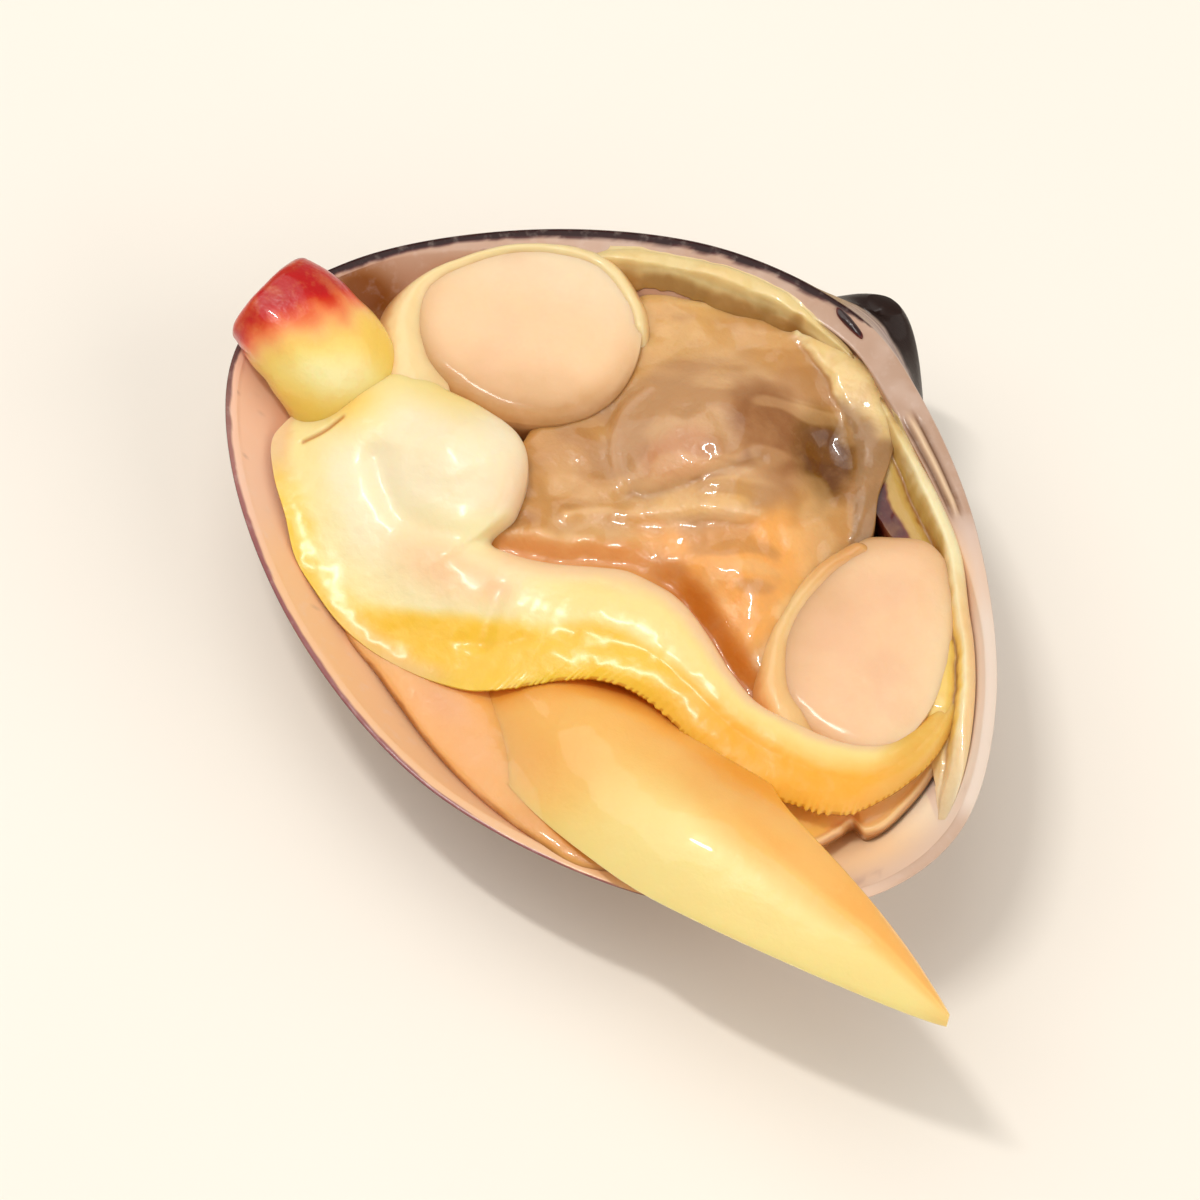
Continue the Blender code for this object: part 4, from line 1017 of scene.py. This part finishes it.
def makeBody():
    # a low bed; a dome over the stomach; folds towards the siphon; a ragged raised border along the hinge
    looks = bodySpec
    foldOne = [(-9.8, -3.2), (-5.1, -0.7), (-0.5, 1.5), (3.6, 2.2)]
    foldTwo = [(-6, 1.6), (-3.7, 3.6), (0, 5.8), (3.4, 8.2), (8.3, 10.9)]
    domeEdge = [(-2.4, 6.6), (-0.7, 7.6), (2, 10.6), (4, 13.2), (5.3, 15.3)]
    domeArc = [(-7, 16), (-7.8, 12.7), (-6.4, 9.2), (-3.8, 6.9), (-1.4, 6.2)]
    frillSide = [
        (-10.3, -4.6), (-5.2, -2.8), (-0.8, 0), (2.6, 1.4), (7.1, 1), (11.5, -0.7), (15.6, -2.6),
        (18.6, -3.6)]
    border = [
        (0.4, 29.4), (2.6, 28.8), (5.4, 28.3), (8.8, 26.6), (12, 23.8), (13.9, 21.4), (15.7, 18),
        (17.1, 15.4)]

    def ragged(x, y):
        # millimetres from the border's middle line, with an uneven inner side
        away = lineDistance(x, y, openCurve(border, 40))
        return away + 0.7 * cloud(x, y, 3.4, 91) + 0.25 * cloud(x, y, 1.1, 92)

    def borderHalf(x):
        # its half width there
        return mix(1.2, 2.3, smooth(2, 7, x))

    def frillSideReach(x, y):
        return lineDistance(x, y, openCurve(frillSide, 40))

    def top(x, y, share):
        dome = smooth(1.15, 0.2, reach(x, y, (0.8, 15), (9.2, 9.6), -20))
        z = -0.9 - 0.02 * (y - 12) + 2.9 * dome
        z += 1.3 * mound(x, y, (10, 10), (6, 7)) + 0.8 * mound(x, y, (9, 5), (6.5, 3.4), -15)
        z -= 0.9 * mound(x, y, (9.5, 20.5), (4, 3), -40)
        z -= mix(0.7, 1.5, smooth(0, 8, x)) * bell(frillSideReach(x, y), 1.5)
        folds = 0.4 * seam(x, y, foldOne, 1.1) + 0.35 * seam(x, y, foldTwo, 0.9)
        z += folds - 0.35 * seam(x, y, domeEdge, 0.8)
        z += 0.2 * seam(x, y, domeArc, 0.5) + 0.6 * smooth(1.2, 0.4, ragged(x, y) / borderHalf(x))
        rough = smooth(1.3, 0.5, reach(x, y, *looks["wrinkledAt"]))     # a wrinkled patch on the dome
        calm = 1 - 0.85 * smooth(1.1, 0.7, reach(x, y, *looks["domeAt"])) * (1 - rough)
        z += 0.3 * cloud(x, y, 6, 81) + calm * (0.26 * grain(x, y, 2.8, 84) + 0.11 * grain(x, y, 1.4, 85))
        z -= 0.16 * rough * reach(x, y, *looks["wrinkledAt"])
        return z - mix(1, 0.4, smooth(3, 8, x) * smooth(14, 19, y)) * share ** 20

    around, rows = looks["mesh"]
    outline = closedCurve(looks["outline"], around)
    shares = np.linspace(0.01, 1, rows) ** 0.8
    rings, x, y, share = cushionRings(outline, looks["middle"], shares, top, restOn(0.1))
    haze, wisp = cloud(x, y, 4, 86), grain(x + 0.6 * y, 2.4 * (y - 0.6 * x), 5, 88) + 0.4 * grain(x, y, 2, 89)
    domeReach = reach(x, y, *looks["domeAt"]) + 0.12 * haze
    toFrill = frillSideReach(x, y) + 0.5 * haze
    lower = smooth(26.5, 23.5, y + 2 * cloud(x, y, 3, 93))[..., None]
    cream = mix(np.array(looks["cream"], float), looks["creamLow"], lower)
    paint = layered(
        x, looks, "colour",
        ("upper", smooth(-2, -9, x + 0.4 * (y - 24)) * smooth(14, 22, y)),
        ("low", smooth(1.25, 0.7, reach(x, y, (9.4, 5.6), (10, 7), -15) + 0.15 * haze)),
        ("dome", smooth(1.1, 0.85, domeReach)),
        ("rosy", 0.9 * smooth(1.2, 0.5, reach(x, y, (-0.6, 11.2), (4, 3), 30) + 0.25 * haze)),
        ("dark", smooth(1.25, 0.6, reach(x, y, (4.6, 18), (6.4, 3.4), -35) + 0.3 * haze)),
        ("yellow", 0.9 * smooth(1.2, 0.6, reach(x, y, (3.4, 9.6), (5, 1.8), 38) + 0.2 * haze)),
        ("olive", smooth(1.3, 0.6, reach(x, y, (9.6, 19.2), (5, 3), -46) + 0.3 * haze)),
        ("shade", 0.2 * smooth(1.15, 0.8, ragged(x - 0.7, y - 0.7) / borderHalf(x)) * smooth(26, 22, y)),
        # painted shade in the fold along the dome's lower edge
        ("dark", 0.55 * bell(lineDistance(x, y, openCurve(domeEdge, 20)), 0.5)),
        ("streak", 0.6 * (seam(x, y, foldOne, 0.5) + seam(x, y, foldTwo, 0.45)) * smooth(-0.4, 0.4, haze)),
        ("streak", 0.35 * smooth(0.1, 0.6, wisp)), ("dark", 0.3 * smooth(-0.1, -0.6, wisp)),
        # painted shade in the groove beside the frill: orange-brown, deeper towards the right
        ("creaseShadeLeft", smooth(2.4, 0.8, toFrill)), ("creaseShade", smooth(2.8, 0.8, toFrill) * smooth(2, 8, x)))
    paint = mix(paint, cream, smooth(1, 0.75, ragged(x, y) / borderHalf(x))[..., None])
    makeFlesh("stomachMass", "visceral_mass", rings, paint, looks, {"Subsurface Weight": 0.45})


# Ligament

ligamentSpec = {
    "outline": [(2.2, 31.9), (3.6, 31.7), (5.4, 31), (5.6, 30.5), (4.2, 30.7), (2.6, 31.2)],
    "centre": (3.9, 31.2), "colour": (62, 22, 10), "edge": (112, 54, 28), "second": (40, 14, 8),
}


def makeLigament():
    # a small sunken pad in a horny brown
    looks = ligamentSpec

    def top(x, y, share):
        return 0.55 - 0.25 * share ** 2 + 0.06 * cloud(x, y, 0.6, 95)

    def bed(x, y):
        return np.full(np.shape(x), -0.4)

    outline, shares = closedCurve(looks["outline"], 60), np.linspace(0.05, 1, 12)
    rings, _, _, share = cushionRings(outline, looks["centre"], shares, top, bed)
    paint = layered(share, looks, "colour", ("edge", smooth(0.8, 1, share)))
    makeFlesh("ligamentPad", "ligament", rings, paint, looks, {"Subsurface Weight": 0})


# Light, floor and camera

cameraSpec = {"azimuth": 35, "elevation": 64, "aim": (1.4, -3.8, 0), "width": 105.4, "lens": 400}
floorSpec = {"half": 2, "colours": ((249, 241, 230), (252, 245, 235)), "lump": 60}
lights = {                    # metres to the side, up and overhead; the panel's sides; watts; colour
    "softbox": ((-0.5, 0.4, 1.1), (1.5, 1.5), 9, (1, 0.98, 0.94)),
    "fill": ((0.8, -0.5, 0.7), (1.2, 1.2), 5.5, (1, 0.97, 0.92)),
}
lamp = {
    "towards": (-0.25, -0.05, 0.967), "away": 0.8, "along": (0.82, -0.57), "sizes": (0.2, 0.035),
    "power": 1.8, "colour": (1, 0.985, 0.95),
}
worldColour, worldStrength = (1, 0.98, 0.94, 1), 0.37


def aimed(spot, side, up, back):
    return Matrix.Translation(spot) @ Matrix((side, up, back)).transposed().to_4x4()


def makeCamera():
    # back along (sin a cos e, -cos a cos e, sin e) in the rim's frame, and level across it
    a, e = math.radians(cameraSpec["azimuth"]), math.radians(cameraSpec["elevation"])
    back = Vector(turned @ (math.sin(a) * math.cos(e), -math.cos(a) * math.cos(e), math.sin(e)))
    side = Vector(turned @ (math.cos(a), math.sin(a), 0))
    up = back.cross(side)
    data = bpy.data.cameras.new("camera")
    data.lens, data.sensor_width = cameraSpec["lens"], 36
    away = cameraSpec["width"] * mm * data.lens / data.sensor_width
    data.clip_start, data.clip_end = 0.01, 10
    camera = newObject("camera", data)
    camera.matrix_world = aimed(Vector(placePoints(cameraSpec["aim"])) + back * away, side, up, back)
    bpy.context.scene.camera = camera
    return side, up


def makeLight(name, spot, aim, lengthwise, sizes, power, colour):
    # a rectangle facing aim, its first side along lengthwise
    data = bpy.data.lights.new(name, "AREA")
    data.shape, data.energy, data.color = "RECTANGLE", power, colour
    data.size, data.size_y = sizes
    facing = (Vector(spot) - Vector(aim)).normalized()
    width = (lengthwise - facing * lengthwise.dot(facing)).normalized()
    newObject(name, data).matrix_world = aimed(spot, width, facing.cross(width), facing)


def makeStage(side, up):
    floorMesh = bpy.data.meshes.new("floor")
    half = floorSpec["half"]
    corners = [(-half, -half, 0), (half, -half, 0), (half, half, 0), (-half, half, 0)]
    floorMesh.from_pydata(corners, [], [(0, 1, 2, 3)])
    material, position, feed = newMaterial("floorPaint", {"Roughness": 0.6, "Specular IOR Level": 0.2})
    feed(Base_Color=position.noise(floorSpec["lump"], 2).tint(*floorSpec["colours"]))
    floorMesh.materials.append(material)
    newObject("floor", floorMesh)
    middle = Vector(placePoints((0, 0, 0)))
    for name, (spot, sizes, power, colour) in lights.items():
        spot = middle + side * spot[0] + up * spot[1] + Vector((0, 0, spot[2]))
        makeLight(name, spot, middle, side, sizes, power, colour)
    spot = middle + Vector(turned @ lamp["towards"]) * lamp["away"]
    length = side * lamp["along"][0] + up * lamp["along"][1]
    makeLight("lamp", spot, middle, length, lamp["sizes"], lamp["power"], lamp["colour"])
    world = bpy.data.worlds.new("world")
    world.use_nodes = True
    background = world.node_tree.nodes["Background"]
    background.inputs["Color"].default_value = worldColour
    background.inputs["Strength"].default_value = worldStrength
    bpy.context.scene.world = world
    bpy.context.scene.view_settings.view_transform = "Standard"


makeStage(*makeCamera())
print("camera and light done")
makeShell()
for name in muscles:
    makeMuscle(name)
    makeFringe(name)
makeFoot()
makeSiphon()
makeFrill()
makeLining()
makeStrip()
makeBody()
makeLigament()
print("pieces done")
